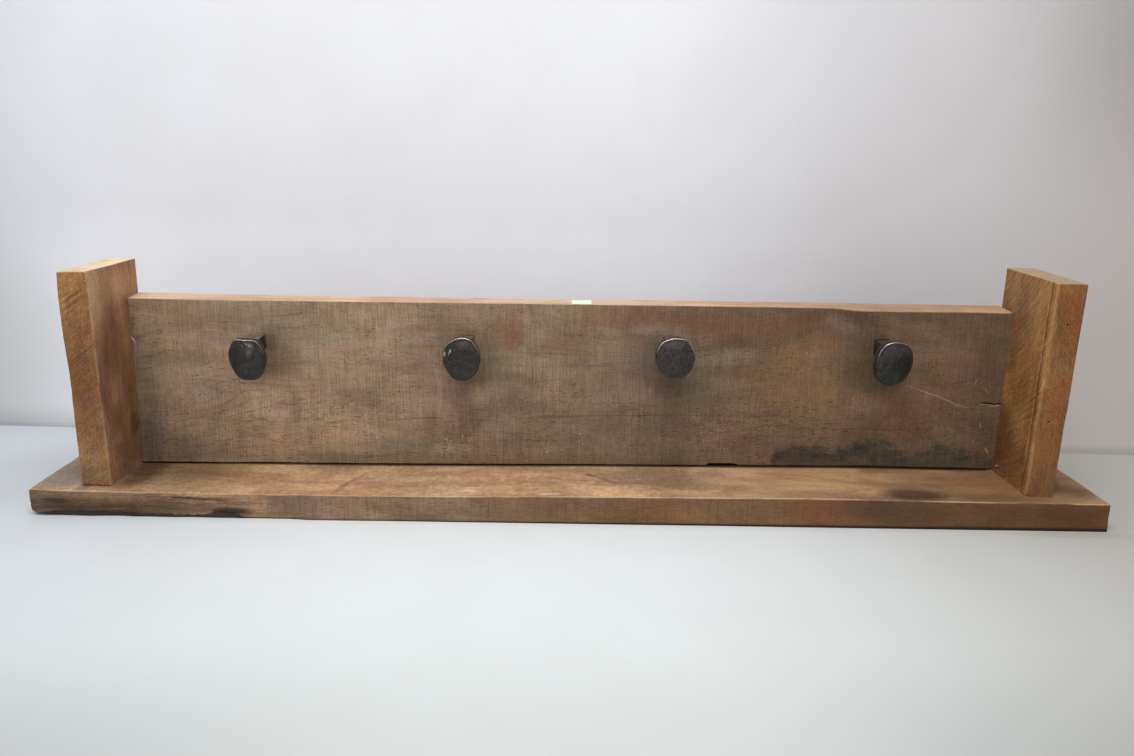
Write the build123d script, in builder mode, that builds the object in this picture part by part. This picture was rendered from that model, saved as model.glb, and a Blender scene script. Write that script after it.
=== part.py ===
"""Coat rack of reclaimed boards with four iron track spikes as hooks and a shelf board.

Frame: millimetres, X along the rack, +Y towards the wall, +Z up. The rack stands on its shelf
board with the spikes' lips down, so -Z is up once it hangs on a wall. The origin is the middle
of the shelf board's lower face.
"""
from build123d import *
import os

os.makedirs("parts", exist_ok=True)

# ---------------------------------------------------------------- driving dimensions (mm)
# shelf board
shelf_length = 1067.0
shelf_depth = 118.0
shelf_thick = 28.5
wane_length = 225.0      # natural edge, from the left end
wane_rise = 6.0          # its height on the front face
wane_depth = 14.0        # its depth on the lower face

# end blocks: they stand on the shelf, flush with its back edge
block_thick = 28.5
left_block_height = 213.0
right_block_height = 217.5
left_block_depth = 104.0
right_block_depth = 101.0
left_overhang = 44.5     # shelf end to the block's outer face
right_overhang = 48.5

# back board: it stands on the shelf between the end blocks, flush at the back
board_thick = 28.5
board_height = 177.0
board_corner = 5.0       # worn upper right corner

# worn long edges of every board
arris = 0.8

# track spikes, from left to right
shank = 16.0                                   # square shank, 5/8 in
left_spike_inset = 130.5                       # end block to the first shank's centre
right_spike_inset = 135.5                      # last shank's centre to the other block
spike_shift = (0.0, -1.0, -4.0, 0.0)           # of each shank from even spacing
spike_height = (131.8, 133.5, 136.0, 136.2)    # shank centre above the shelf board
spike_reach = 33.5                             # bare shank, board face to head
head_width = (33.5, 36.0, 37.5, 35.0)
head_height = (39.5, 42.5, 39.0, 42.5)
head_drop = (9.5, 7.5, 5.5, 7.5)               # head centre below shank centre
heel_flat = (3.0, 0.6, 1.0, 2.2)               # flat on the upper side of the head
head_edge = 10.0                               # thickness of the head at its rim
head_crown = 4.5                               # dome above the rim
throat = 1.5                                   # fillet between head and shank

# wood screws of the frame, no. 8
screw_length = 65.0
screw_shank_radius = 2.1
screw_head_radius = 4.2
shelf_screw_inset = 26.0       # screws in an end block, from its front and back faces
board_screw_pitch = 216.0      # screws along the back board
board_screw_count = 4
end_screw_inset = 45.0         # screws in a board end, from its lower and upper edges

# keyhole hanger plates and their screws
plate_length = 50.0
plate_width = 16.0
plate_thick = 1.6
plate_corner = 3.0
plate_rise = 36.0              # plate centre above the shelf board
keyhole_radius = 4.75
keyhole_slot_width = 4.8
keyhole_slot_length = 9.0      # hole centre to the centre of the slot's round end
pocket_width = 11.0            # room for the wall screw's head
pocket_depth = 9.0
plate_screw_pitch = 38.0
plate_screw_length = 16.0
plate_screw_shank_radius = 1.5
plate_screw_head_radius = 3.0

# fits
screw_fit = 0.05               # radial clearance of a screw in its hole
head_sink = 0.3                # screw head below the surface
tip_room = 1.0                 # hole beyond the screw's tip

# ---------------------------------------------------------------- places worked out from them
shelf_back = shelf_depth / 2
left_block_x = -shelf_length / 2 + left_overhang + block_thick / 2
right_block_x = shelf_length / 2 - right_overhang - block_thick / 2
left_inner_x = left_block_x + block_thick / 2
right_inner_x = right_block_x - block_thick / 2
board_length = right_inner_x - left_inner_x
board_x = (left_inner_x + right_inner_x) / 2
board_y = shelf_back - board_thick / 2
board_face = shelf_back - board_thick
board_top = shelf_thick + board_height
first_spike_x = left_inner_x + left_spike_inset
spike_pitch = (right_inner_x - right_spike_inset - first_spike_x) / (len(spike_shift) - 1)
spike_x = [first_spike_x + spike_pitch * i + shift for i, shift in enumerate(spike_shift)]
spike_z = [shelf_thick + height for height in spike_height]
head_back = board_face - spike_reach           # underside of the heads
plate_z = shelf_thick + plate_rise

left_block = (left_block_x, left_block_depth, left_block_height)
right_block = (right_block_x, right_block_depth, right_block_height)


def facing(x, y, z, direction):
    """A plane at a point whose normal looks out of the wood."""
    return Plane(origin=(x, y, z), z_dir=direction)


def shelf_screw_planes(block):
    """Screws up through the shelf board into an end block."""
    x, depth, _ = block
    front = shelf_back - depth + shelf_screw_inset
    back = board_face - shelf_screw_inset / 2
    return [facing(x, y, 0, (0, 0, -1)) for y in (front, back)]


def end_screw_planes(outer_x, direction):
    """Screws through an end block into the end of the back board."""
    low = shelf_thick + end_screw_inset
    high = board_top - end_screw_inset
    return [facing(outer_x, board_y, z, direction) for z in (low, high)]


def plate_screw_planes(x):
    """Screws through a hanger plate into the back of an end block."""
    return [facing(x, shelf_back, plate_z + side * plate_screw_pitch / 2, (0, 1, 0)) for side in (-1, 1)]


first_screw_x = board_x - board_screw_pitch * (board_screw_count - 1) / 2
board_screw_planes = [
    facing(first_screw_x + board_screw_pitch * i, board_y, 0, (0, 0, -1)) for i in range(board_screw_count)
]
left_shelf_planes = shelf_screw_planes(left_block)
right_shelf_planes = shelf_screw_planes(right_block)
left_end_planes = end_screw_planes(left_block_x - block_thick / 2, (-1, 0, 0))
right_end_planes = end_screw_planes(right_block_x + block_thick / 2, (1, 0, 0))


# ---------------------------------------------------------------- shared shapes
def screw_hole(planes):
    """Countersunk hole for a frame screw, as deep as the screw and its tip room."""
    with Locations(*planes):
        CounterSinkHole(
            radius=screw_shank_radius + screw_fit,
            counter_sink_radius=screw_head_radius + screw_fit,
            depth=screw_length + tip_room,
            counter_sink_angle=90,
        )


def pilot_hole(planes, radius, depth):
    """Plain hole that holds the threaded end of a screw."""
    with Locations(*planes):
        Hole(radius=radius + screw_fit, depth=depth + tip_room)


def wood_screw(length, shank_radius, head_radius):
    """One countersunk screw along -Z, its head just below the local XY plane."""
    tip = shank_radius * 0.2
    point = shank_radius * 2
    recess = head_radius * 0.5
    with BuildPart() as one:
        with BuildSketch(Plane.XZ):
            with BuildLine():
                Polyline(
                    (0, -head_sink),
                    (head_radius - head_sink, -head_sink),
                    (shank_radius, shank_radius - head_radius),
                    (shank_radius, point - length),
                    (tip, -length),
                    (0, -length),
                    close=True,
                )
            make_face()
        revolve(axis=Axis.Z)
        with BuildSketch(Plane.XY.offset(-head_sink)):
            Rectangle(head_radius, head_radius * 0.2)
            Rectangle(head_radius * 0.2, head_radius)
        extrude(amount=-recess, mode=Mode.SUBTRACT)
    return one.part


def screw_group(planes, screw):
    """Copies of one screw, a separate solid at each plane."""
    with BuildPart() as group:
        with Locations(*planes):
            add(screw)
    return group


def end_block(block):
    """An end block with its worn edges, screw holes and hanger plate recess."""
    x, depth, height = block
    with BuildPart() as wood:
        with BuildSketch(Plane.XY.offset(shelf_thick)):
            with Locations((x, shelf_back - depth / 2)):
                Rectangle(block_thick, depth)
        extrude(amount=height)
        upright = wood.edges().filter_by(Axis.Z).group_by(Axis.Y)[0]
        upper = wood.faces().sort_by(Axis.Z)[-1].edges()
        chamfer(upright + upper, arris)
        with BuildSketch(Plane.XZ.offset(-shelf_back)):
            with Locations((x, plate_z)):
                RectangleRounded(plate_width, plate_length, plate_corner)
        extrude(amount=plate_thick, mode=Mode.SUBTRACT)
        with BuildSketch(Plane.XZ.offset(-shelf_back)):
            with Locations((x, plate_z - keyhole_slot_length / 2)):
                SlotCenterToCenter(keyhole_slot_length, pocket_width, rotation=90)
        extrude(amount=plate_thick + pocket_depth, mode=Mode.SUBTRACT)
        pilot_hole(plate_screw_planes(x), plate_screw_shank_radius, plate_screw_length)
    return wood


def hanger_plate(x):
    """A keyhole plate flush with the wall side; the slot runs up once the rack hangs."""
    with BuildPart() as plate:
        with BuildSketch(Plane.XZ.offset(-shelf_back)):
            with Locations((x, plate_z)):
                RectangleRounded(plate_width, plate_length, plate_corner)
            with Locations((x, plate_z)):
                Circle(keyhole_radius, mode=Mode.SUBTRACT)
            with Locations((x, plate_z - keyhole_slot_length / 2)):
                SlotCenterToCenter(keyhole_slot_length, keyhole_slot_width, rotation=90, mode=Mode.SUBTRACT)
        extrude(amount=plate_thick)
        with Locations(*plate_screw_planes(x)):
            CounterSinkHole(
                radius=plate_screw_shank_radius + screw_fit,
                counter_sink_radius=plate_screw_head_radius + screw_fit,
                depth=plate_thick,
                counter_sink_angle=90,
            )
    return plate


def track_spike(number):
    """A cut-down track spike: square shank through the board, oval domed head."""
    x = spike_x[number]
    z = spike_z[number]
    width = head_width[number]
    height = head_height[number]
    flat = heel_flat[number]
    low = z - head_drop[number] - height / 2
    dome_radius = ((width / 2) ** 2 + head_crown ** 2) / (2 * head_crown)
    with BuildPart() as spike:
        with BuildSketch(Plane.XZ.offset(-head_back)):
            with Locations((x, low + (height + flat) / 2)):
                Ellipse(width / 2, (height + flat) / 2)
            with Locations((x, low + height)):
                Rectangle(width, 2 * flat, align=(Align.CENTER, Align.MIN), mode=Mode.SUBTRACT)
        extrude(amount=head_edge + head_crown)
        with Locations((x, head_back - head_edge - head_crown + dome_radius, low + height / 2)):
            Sphere(dome_radius, mode=Mode.INTERSECT)
        with BuildSketch(Plane.XZ.offset(-shelf_back)):
            with Locations((x, z)):
                Rectangle(shank, shank)
        extrude(amount=board_thick + spike_reach)
        inner = spike.edges().filter_by_position(Axis.Y, head_back - 0.01, head_back + 0.01)
        fillet(inner.sort_by(lambda edge: (edge.center() - Vector(x, head_back, z)).length)[0:4], throat)
    return spike


# ---------------------------------------------------------------- boards
with BuildPart() as shelf_board:
    with BuildSketch(Plane.XY):
        Rectangle(shelf_length, shelf_depth)
    extrude(amount=shelf_thick)
    chamfer(shelf_board.faces().sort_by(Axis.Y)[0].edges(), arris)
    with BuildSketch(Plane.YZ.offset(-shelf_length / 2)):
        with BuildLine():
            Polyline(
                (-shelf_depth / 2, 0),
                (wane_depth - shelf_depth / 2, 0),
                (-shelf_depth / 2, wane_rise),
                close=True,
            )
        make_face()
    with BuildSketch(Plane.YZ.offset(wane_length - shelf_length / 2)):
        with BuildLine():
            Polyline(
                (-shelf_depth / 2, 0),
                (arris - shelf_depth / 2, 0),
                (-shelf_depth / 2, arris),
                close=True,
            )
        make_face()
    loft(mode=Mode.SUBTRACT)
    screw_hole(left_shelf_planes + right_shelf_planes + board_screw_planes)
shelf_board.part.label = "shelf_board"
export_step(shelf_board.part, "parts/shelf_board.step")

with BuildPart() as back_board:
    with BuildSketch(Plane.XZ.offset(-shelf_back)):
        with Locations((board_x, shelf_thick + board_height / 2)):
            Rectangle(board_length, board_height)
    extrude(amount=board_thick)
    corner = back_board.edges().filter_by(Axis.Y).group_by(Axis.Z)[-1].sort_by(Axis.X)[-1]
    fillet(corner, board_corner)
    with BuildSketch(Plane.XZ.offset(-shelf_back)):
        for x, z in zip(spike_x, spike_z):
            with Locations((x, z)):
                Rectangle(shank, shank)
    extrude(amount=board_thick, mode=Mode.SUBTRACT)
    pilot_hole(board_screw_planes, screw_shank_radius, screw_length)
    pilot_hole(left_end_planes + right_end_planes, screw_shank_radius, screw_length)
back_board.part.label = "back_board"
export_step(back_board.part, "parts/back_board.step")

left_end_block = end_block(left_block)
with left_end_block:
    pilot_hole(left_shelf_planes, screw_shank_radius, screw_length)
    screw_hole(left_end_planes)
left_end_block.part.label = "left_end_block"
export_step(left_end_block.part, "parts/left_end_block.step")

right_end_block = end_block(right_block)
with right_end_block:
    pilot_hole(right_shelf_planes, screw_shank_radius, screw_length)
    screw_hole(right_end_planes)
right_end_block.part.label = "right_end_block"
export_step(right_end_block.part, "parts/right_end_block.step")

# ---------------------------------------------------------------- spikes
for number in range(len(spike_x)):
    spike = track_spike(number)
    spike.part.label = f"spike_{number + 1}"
    export_step(spike.part, f"parts/spike_{number + 1}.step")

# ---------------------------------------------------------------- hardware
frame_screw = wood_screw(screw_length, screw_shank_radius, screw_head_radius)
plate_screw = wood_screw(plate_screw_length, plate_screw_shank_radius, plate_screw_head_radius)
screw_sets = {
    "left_shelf_screws": (left_shelf_planes, frame_screw),
    "right_shelf_screws": (right_shelf_planes, frame_screw),
    "back_board_screws": (board_screw_planes, frame_screw),
    "left_end_screws": (left_end_planes, frame_screw),
    "right_end_screws": (right_end_planes, frame_screw),
    "hanger_screws": (plate_screw_planes(left_block_x) + plate_screw_planes(right_block_x), plate_screw),
}
for name, (planes, screw) in screw_sets.items():
    group = screw_group(planes, screw)
    group.part.label = name
    export_step(group.part, f"parts/{name}.step")

for name, x in (("left_hanger_plate", left_block_x), ("right_hanger_plate", right_block_x)):
    plate = hanger_plate(x)
    plate.part.label = name
    export_step(plate.part, f"parts/{name}.step")
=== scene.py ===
"""Spike coat rack with shelf: rough-sawn boards, iron track spikes, studio floor and wall.

The rack stands on its shelf board. X runs along it, +Y is the wall side, +Z is up.
Lengths are written in millimetres and turned into metres by MM where Blender needs them.
"""
import itertools
import math

import bmesh
import bpy
import numpy as np
from mathutils import Matrix, Vector


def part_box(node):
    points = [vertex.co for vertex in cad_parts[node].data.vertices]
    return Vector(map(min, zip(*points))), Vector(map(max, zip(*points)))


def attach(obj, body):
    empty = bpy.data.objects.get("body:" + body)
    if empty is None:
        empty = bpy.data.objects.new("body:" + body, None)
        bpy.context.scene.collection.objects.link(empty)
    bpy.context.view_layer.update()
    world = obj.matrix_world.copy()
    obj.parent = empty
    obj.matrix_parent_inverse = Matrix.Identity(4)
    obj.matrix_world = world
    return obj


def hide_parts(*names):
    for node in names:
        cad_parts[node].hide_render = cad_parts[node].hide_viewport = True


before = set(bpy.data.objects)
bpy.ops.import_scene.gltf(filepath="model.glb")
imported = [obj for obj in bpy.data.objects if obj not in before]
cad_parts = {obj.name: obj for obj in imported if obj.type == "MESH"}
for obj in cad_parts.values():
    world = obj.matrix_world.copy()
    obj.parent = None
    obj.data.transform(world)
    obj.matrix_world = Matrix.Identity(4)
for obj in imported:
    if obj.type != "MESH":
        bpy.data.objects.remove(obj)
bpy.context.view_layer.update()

MM = 0.001
BODY = "root"


# ------------ helpers: numbers
def srgb(red, green, blue):
    """A colour as seen on a screen, 0 to 255, in Blender's linear values."""
    linear = []
    for value in (red, green, blue):
        c = value / 255
        linear.append(c / 12.92 if c <= 0.04045 else ((c + 0.055) / 1.055) ** 2.4)
    return (*linear, 1.0)


def ramp(edge0, edge1, x):
    """Straight step from 0 at edge0 to 1 at edge1."""
    return np.clip((x - edge0) / (edge1 - edge0), 0, 1)


def smooth(edge0, edge1, x):
    """Smooth step from 0 at edge0 to 1 at edge1."""
    t = ramp(edge0, edge1, x)
    return t * t * (3 - 2 * t)


def between(a, b, share):
    """From a at share 0 to b at share 1."""
    return a * (1 - share) + b * share


def read_off(x, table):
    """The height of a drawn line at each x; table holds (place, height) pairs."""
    places, heights = zip(*table)
    return np.interp(x, places, heights)


def lattice_hash(cells, seed):
    """A number from 0 to 1 for each whole-number cell, always the same."""
    h = (cells @ (374761393, 668265263, 1274126177) + seed * 97) & 0xFFFFFFFF
    h = ((h ^ (h >> 13)) * 1103515245) & 0xFFFFFFFF
    h = (h ^ (h >> 16)) & 0xFFFFFF
    return h / 0xFFFFFF


def value_noise(points, seed):
    """Smooth noise from -1 to 1 with one cell per unit."""
    cell = np.floor(points).astype(np.int64)
    f = points - cell
    f = f * f * (3 - 2 * f)
    total = np.zeros(len(points))
    for corner in itertools.product((0, 1), repeat=3):
        weight = np.ones(len(points))
        for axis in range(3):
            weight = weight * (f[:, axis] if corner[axis] else 1 - f[:, axis])
        total += weight * lattice_hash(cell + np.array(corner), seed)
    return total * 2 - 1


def fbm(points, size, seed, octaves=3):
    """Several octaves of noise; size is the largest feature in mm, a number or one per axis."""
    p = points / np.array(size, dtype=float)
    total = np.zeros(len(points))
    amplitude = 0.6
    for octave in range(octaves):
        total += amplitude * value_noise(p * 2 ** octave + 17.3 * octave, seed + octave)
        amplitude *= 0.5
    return total


# ------------ helpers: meshes
def add_object(name, data):
    obj = bpy.data.objects.new(name, data)
    bpy.context.scene.collection.objects.link(obj)
    return obj


def make_object(name, points_mm, faces, smooth_shading=True):
    """A mesh object at the origin from points in millimetres."""
    mesh = bpy.data.meshes.new(name)
    mesh.from_pydata([tuple(p) for p in (np.asarray(points_mm) * MM)], [], faces)
    mesh.validate()
    mesh.update()
    if smooth_shading:
        mesh.polygons.foreach_set("use_smooth", [True] * len(mesh.polygons))
    return add_object(name, mesh)


def grid_line(low, high, pitch, extra=()):
    """Grid positions between two faces, close together near both ends and round extra places."""
    near = [0, 0.3, 0.7, 1.2, 1.9, 2.8, 4.0]
    inner = np.linspace(low + 5.5, high - 5.5, max(2, int(round((high - low - 11) / pitch)) + 1))
    line = [low + n for n in near] + list(inner) + [high - n for n in near]
    for place, gap in extra:
        line = [v for v in line if abs(v - place) > 2.6 * gap]
        line += [place + k * gap for k in (-2, -1, -0.4, 0, 0.4, 1, 2)]
    return np.array(sorted(line))


def box_skin(low, high, pitches, extra=((), (), ())):
    """Points and quads of a closed box with a grid on its sides, of the pitch given for each axis."""
    lines = [grid_line(*row) for row in zip(low, high, pitches, extra)]
    count = tuple(len(line) for line in lines)
    index = np.full(count, -1, dtype=np.int64)
    on_skin = np.zeros(count, dtype=bool)
    for axis in range(3):
        for end in (0, -1):
            where = [slice(None)] * 3
            where[axis] = end
            on_skin[tuple(where)] = True
    ijk = np.argwhere(on_skin)
    index[tuple(ijk.T)] = np.arange(len(ijk))
    points = np.stack([line[ijk[:, axis]] for axis, line in enumerate(lines)], axis=1)
    faces = []
    for axis in range(3):
        for end, flip in ((0, axis != 1), (-1, axis == 1)):
            side = np.take(index, end, axis=axis)
            a, b, c, d = side[:-1, :-1], side[1:, :-1], side[1:, 1:], side[:-1, 1:]
            quads = np.stack([a, b, c, d], axis=-1).reshape(-1, 4)
            faces.append(quads[:, ::-1] if flip else quads)
    return points, np.concatenate(faces)


def round_edges(points, low, high, radius):
    """Rounds a box's edges with a radius for each point."""
    r = radius[:, None]
    core = np.minimum(np.maximum(points, low + r), high - r)
    out = points - core
    length = np.linalg.norm(out, axis=1, keepdims=True)
    return core + out / np.maximum(length, 1e-9) * r


def cut(obj, cutters):
    """Takes the closed cutter meshes out of an object and keeps it a plain mesh."""
    for cutter in cutters:
        modifier = obj.modifiers.new("cut", "BOOLEAN")
        modifier.operation = "DIFFERENCE"
        modifier.solver = "EXACT"
        modifier.object = cutter
    graph = bpy.context.evaluated_depsgraph_get()
    result = bpy.data.meshes.new_from_object(obj.evaluated_get(graph))
    obj.modifiers.clear()
    obj.data = result
    for cutter in cutters:
        bpy.data.objects.remove(cutter)


def tube(name, rings):
    """A closed tube through rings that have as many points each, with flat ends."""
    steps = len(rings[0])
    points = [point for ring in rings for point in ring]
    faces = [tuple(range(steps))[::-1]]
    for start in range(0, len(points) - steps, steps):
        for k in range(steps):
            a, b = start + k, start + (k + 1) % steps
            faces.append((a, b, b + steps, a + steps))
    faces.append(tuple(range(len(points) - steps, len(points))))
    obj = make_object(name, points, faces, smooth_shading=False)
    fix_normals(obj)
    return obj


def lathe_cutter(name, origin, direction, profile, steps=24):
    """A closed turned shape: profile is (radius, depth below the surface), direction points out."""
    out = Vector(direction)
    side = out.orthogonal().normalized()
    other = out.cross(side)
    turns = [2 * math.pi * k / steps for k in range(steps)]
    rim = [side * math.cos(turn) + other * math.sin(turn) for turn in turns]
    centres = [(radius, Vector(origin) - out * depth) for radius, depth in profile]
    return tube(name, [[centre + arm * radius for arm in rim] for radius, centre in centres])


def prism_cutter(name, outline, low, high, to_point):
    """A closed prism of a 2-D outline between two depths; to_point places (a, b, depth)."""
    return tube(name, [[to_point(a, b, depth) for a, b in outline] for depth in (low, high)])


def fix_normals(obj):
    bm = bmesh.new()
    bm.from_mesh(obj.data)
    bmesh.ops.recalc_face_normals(bm, faces=bm.faces)
    bm.to_mesh(obj.data)
    bm.free()


def rounded_rectangle(width, height, radius, steps=6):
    """Outline points of a rectangle with round corners about the origin."""
    points = []
    for quarter, (sx, sy) in enumerate(((1, 1), (-1, 1), (-1, -1), (1, -1))):
        for k in range(steps + 1):
            angle = math.radians(90 * quarter + 90 * k / steps)
            points.append((
                sx * (width / 2 - radius) + radius * math.cos(angle),
                sy * (height / 2 - radius) + radius * math.sin(angle),
            ))
    return points


def box_mm(node):
    """A CAD node's lowest and highest corners in millimetres."""
    low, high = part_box(node)
    return np.array(low) / MM, np.array(high) / MM


def settle(obj, slot, material, *nodes):
    """Gives a finished piece its material and body and hides the CAD nodes that it stands for; slot is not
    used.
    """
    obj.data.materials.clear()
    obj.data.materials.append(material)
    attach(obj, BODY)
    if nodes:
        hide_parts(*nodes)


# ------------ helpers: materials
class Shader:
    """Builds one material's node tree. Positions are in millimetres in the rack's frame.

    A colour is a socket, or (red, green, blue) as seen on a screen.
    """

    def __init__(self, name):
        self.material = bpy.data.materials.new(name)
        self.material.use_nodes = True
        self.tree = self.material.node_tree
        self.tree.nodes.clear()
        self.output = self.tree.nodes.new("ShaderNodeOutputMaterial")
        coordinates = self.node("TexCoord", {})
        self.at = self.vector("SCALE", coordinates["Object"], 1 / MM)
        self.normal = coordinates["Normal"]
        self.x, self.y, self.z = self.parts(self.at)

    def put(self, socket, value):
        """Links a socket, or sets its plain value; None leaves it as it is."""
        if isinstance(value, bpy.types.NodeSocket):
            self.tree.links.new(value, socket)
        elif value is not None:
            socket.default_value = value

    def node(self, kind, values, **settings):
        """The outputs of a new node; values holds its inputs by name or number."""
        node = self.tree.nodes.new("ShaderNode" + kind)
        for name, setting in settings.items():
            setattr(node, name, setting)
        for key, value in values.items():
            self.put(node.inputs[key], value)
        return node.outputs

    def vector(self, operation, a, b=None):
        second = "Scale" if operation == "SCALE" else 1
        outputs = self.node("VectorMath", {0: a, second: b}, operation=operation)
        return outputs["Value" if operation in ("LENGTH", "DOT_PRODUCT") else "Vector"]

    def math(self, operation, a, b=None):
        return self.node("Math", {0: a, 1: b}, operation=operation)[0]

    def times(self, *factors):
        """The product of the factors."""
        product = factors[0]
        for factor in factors[1:]:
            product = self.math("MULTIPLY", product, factor)
        return product

    def plus(self, a, b):
        return self.math("ADD", a, b)

    def parts(self, vector):
        return self.node("SeparateXYZ", {0: vector})

    def join(self, x, y, z):
        return self.node("CombineXYZ", {0: x, 1: y, 2: z})[0]

    def in_units(self, place, size):
        """A place counted in sizes; size is in mm, a number or one along each axis."""
        sizes = size if isinstance(size, tuple) else (size,) * 3
        return self.vector("MULTIPLY", place or self.at, tuple(1 / s for s in sizes))

    def noise(self, size, detail=3.0, rough=0.55, distort=0.0, place=None, output="Fac"):
        """Noise about 0.5; size is the width of its features."""
        values = {"Vector": self.in_units(place, size), "Scale": 1.0, "Detail": detail}
        values |= {"Roughness": rough, "Distortion": distort}
        return self.node("TexNoise", values)[output]

    def cells(self, size):
        return self.node("TexVoronoi", {"Vector": self.in_units(None, size), "Scale": 1.0})

    def remap(self, value, low, high, to_low=0.0, to_high=1.0, kind="SMOOTHSTEP"):
        values = {"Value": value, "From Min": low, "From Max": high, "To Min": to_low, "To Max": to_high}
        return self.node("MapRange", values, interpolation_type=kind)[0]

    def mix(self, amount, a, b, mode="MIX"):
        a, b = (srgb(*c) if isinstance(c, tuple) and len(c) == 3 else c for c in (a, b))
        return self.node("Mix", {0: amount, 6: a, 7: b}, data_type="RGBA", blend_type=mode)[2]

    def blend(self, amount, a, b):
        return self.node("Mix", {0: amount, 2: a, 3: b}, data_type="FLOAT")[0]

    def spot(self, centre, radii, turn, soft, place):
        """1 inside an ellipse or ellipsoid, 0 outside; turn is in degrees about the last axis."""
        offset = self.vector("SUBTRACT", place, centre)
        if turn:
            c, s = math.cos(math.radians(turn)), math.sin(math.radians(turn))
            axes = ((c, s, 0), (-s, c, 0), (0, 0, 1))
            offset = self.join(*(self.vector("DOT_PRODUCT", offset, axis) for axis in axes))
        distance = self.vector("LENGTH", self.vector("DIVIDE", offset, radii))
        return self.remap(distance, 1 + soft, 1 - soft)

    def profile(self, along, points):
        """The height of a drawn line at each place; points are (place, height) in mm."""
        node = self.tree.nodes.new("ShaderNodeFloatCurve")
        first, last = points[0][0], points[-1][0]
        top = max(height for _, height in points)
        places = [((place - first) / (last - first), height / top) for place, height in points]
        curve = node.mapping.curves[0]
        curve.points[0].location = places[0]
        curve.points[-1].location = places[-1]
        for place in places[1:-1]:
            curve.points.new(*place)
        node.mapping.update()
        self.put(node.inputs["Value"], self.remap(along, first, last, 0, 1, "LINEAR"))
        return self.times(node.outputs[0], top)

    def drift(self, size, amount, detail, rough=0.55):
        """Noise about zero in three directions."""
        colour = self.noise(size, detail, rough, output="Color")
        return self.vector("SCALE", self.vector("SUBTRACT", colour, (0.5, 0.5, 0.5)), amount)

    def bump(self, height, distance, strength):
        """height is 0 to 1 and stands for distance mm."""
        return self.node("Bump", {"Height": height, "Distance": distance * MM, "Strength": strength})[0]

    def finish(self, colour, roughness, normal=None, **fixed):
        """Closes the tree with one Principled shader; fixed holds plain socket values."""
        values = {name.replace("_", " "): value for name, value in fixed.items()}
        values |= {"Base Color": colour, "Roughness": roughness, "Normal": normal}
        self.put(self.output.inputs["Surface"], self.node("BsdfPrincipled", values)[0])
        return self.material


class Wood(Shader):
    """Rough-sawn wood. grain is the axis along the fibres."""

    def __init__(self, name, grain):
        super().__init__(name)
        self.grain = grain
        self.n = self.parts(self.normal)
        self.fibre = self.noise(self.along(13, 1.5), 3.0, 0.75)
        self.speck = self.noise(1.5, 2.0, 0.8)
        self.cloud = self.noise(self.along(80, 34), 5.0, 0.62, 0.5)

    def along(self, length, across):
        """Sizes of a noise that is stretched along the fibres."""
        return tuple(length if axis == self.grain else across for axis in "XYZ")

    def warped(self, size, amount, detail):
        """The position moved about by noise, in mm."""
        return self.vector("ADD", self.at, self.drift(size, amount, detail))

    def face(self, axis, sign):
        """1 on the side of the board that faces that way."""
        return self.remap(self.times(self.n[axis], sign), 0.6, 0.85)

    def flat_place(self, axis, warp):
        """The place on the sides across one axis, as a vector in a plane."""
        place = self.parts(warp)
        u, v = (place[a] for a in "XYZ" if a != axis)
        return self.join(u, v, 0)

    def edge_wear(self, size, low, high):
        """1 on the rounded edges between two sides, broken up by noise."""
        sides = [self.math("ABSOLUTE", part) for part in self.n]
        largest = self.math("MAXIMUM", self.math("MAXIMUM", sides[0], sides[1]), sides[2])
        return self.times(self.remap(largest, 0.99, 0.86), self.remap(self.noise(size, 4.0), low, high))

    def growth(self, place, pitch, bumps, seed_size):
        """Dark growth-ring lines: contours of a slope with bumps (u, v, half width, half height, lines)."""
        field = self.math("DIVIDE", self.parts(place)["Y"], pitch)
        for u, v, ru, rv, lines in bumps:
            hill = self.spot((u, v, 0), (ru, rv, 1), 0, 1.0, place)
            field = self.plus(field, self.times(hill, lines))
        field = self.plus(field, self.times(self.noise(seed_size, 2.0, 0.4), 3.0))
        wave = self.math("PINGPONG", field, 0.5)
        return self.times(self.remap(wave, 0.4, 0.49), self.remap(self.noise(46.0, 2.0), 0.42, 0.62))

    def clouded(self, a, b):
        """Two colours in large, soft clouds."""
        return self.mix(self.remap(self.cloud, 0.38, 0.62), a, b)

    def detail(self, colour, layers):
        """Multiplies a colour by noises: each is (field, darkest, lightest)."""
        for field, low, high in layers:
            colour = self.mix(1.0, colour, self.remap(field, 0.28, 0.72, low, high, "LINEAR"), "MULTIPLY")
        return colour

    def tinted(self, colour, size, amount):
        """Lets the hue drift a little from place to place."""
        tint = self.vector("ADD", self.drift(size, amount, 3.0, 0.6), (1.0, 1.0, 1.0))
        return self.mix(1.0, colour, tint, "MULTIPLY")

    def shade(self, colour, place, rows, soft=0.6):
        """Multiplies patches: (u, v, half width, half height, factor on screen values, turn if any)."""
        for u, v, ru, rv, factor, *turn in rows:
            tone = factor if isinstance(factor, tuple) else (factor,) * 3
            mask = self.spot((u, v, 0), (ru, rv, 1), sum(turn), soft, place)
            colour = self.mix(mask, colour, tuple(255 * f for f in tone), "MULTIPLY")
        return colour

    def marks(self, colour, place, rows, soft=0.5):
        """Lays marks on a colour: (u, v, half width, half height, strength, colour, turn if any)."""
        for u, v, ru, rv, strength, stain, *turn in rows:
            mask = self.spot((u, v, 0), (ru, rv, 1), sum(turn), soft, place)
            colour = self.mix(self.times(mask, strength), colour, stain)
        return colour


# ------------ camera
PHOTO_WIDTH = 1134
FOCAL_PX = 940.95            # focal length in photo pixels
SENSOR = 36.0
CAMERA_AT = (-22.6, -927.0, 377.6)
YAW = 0.0152
PITCH = 0.2567
ROLL = -0.0183


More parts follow.
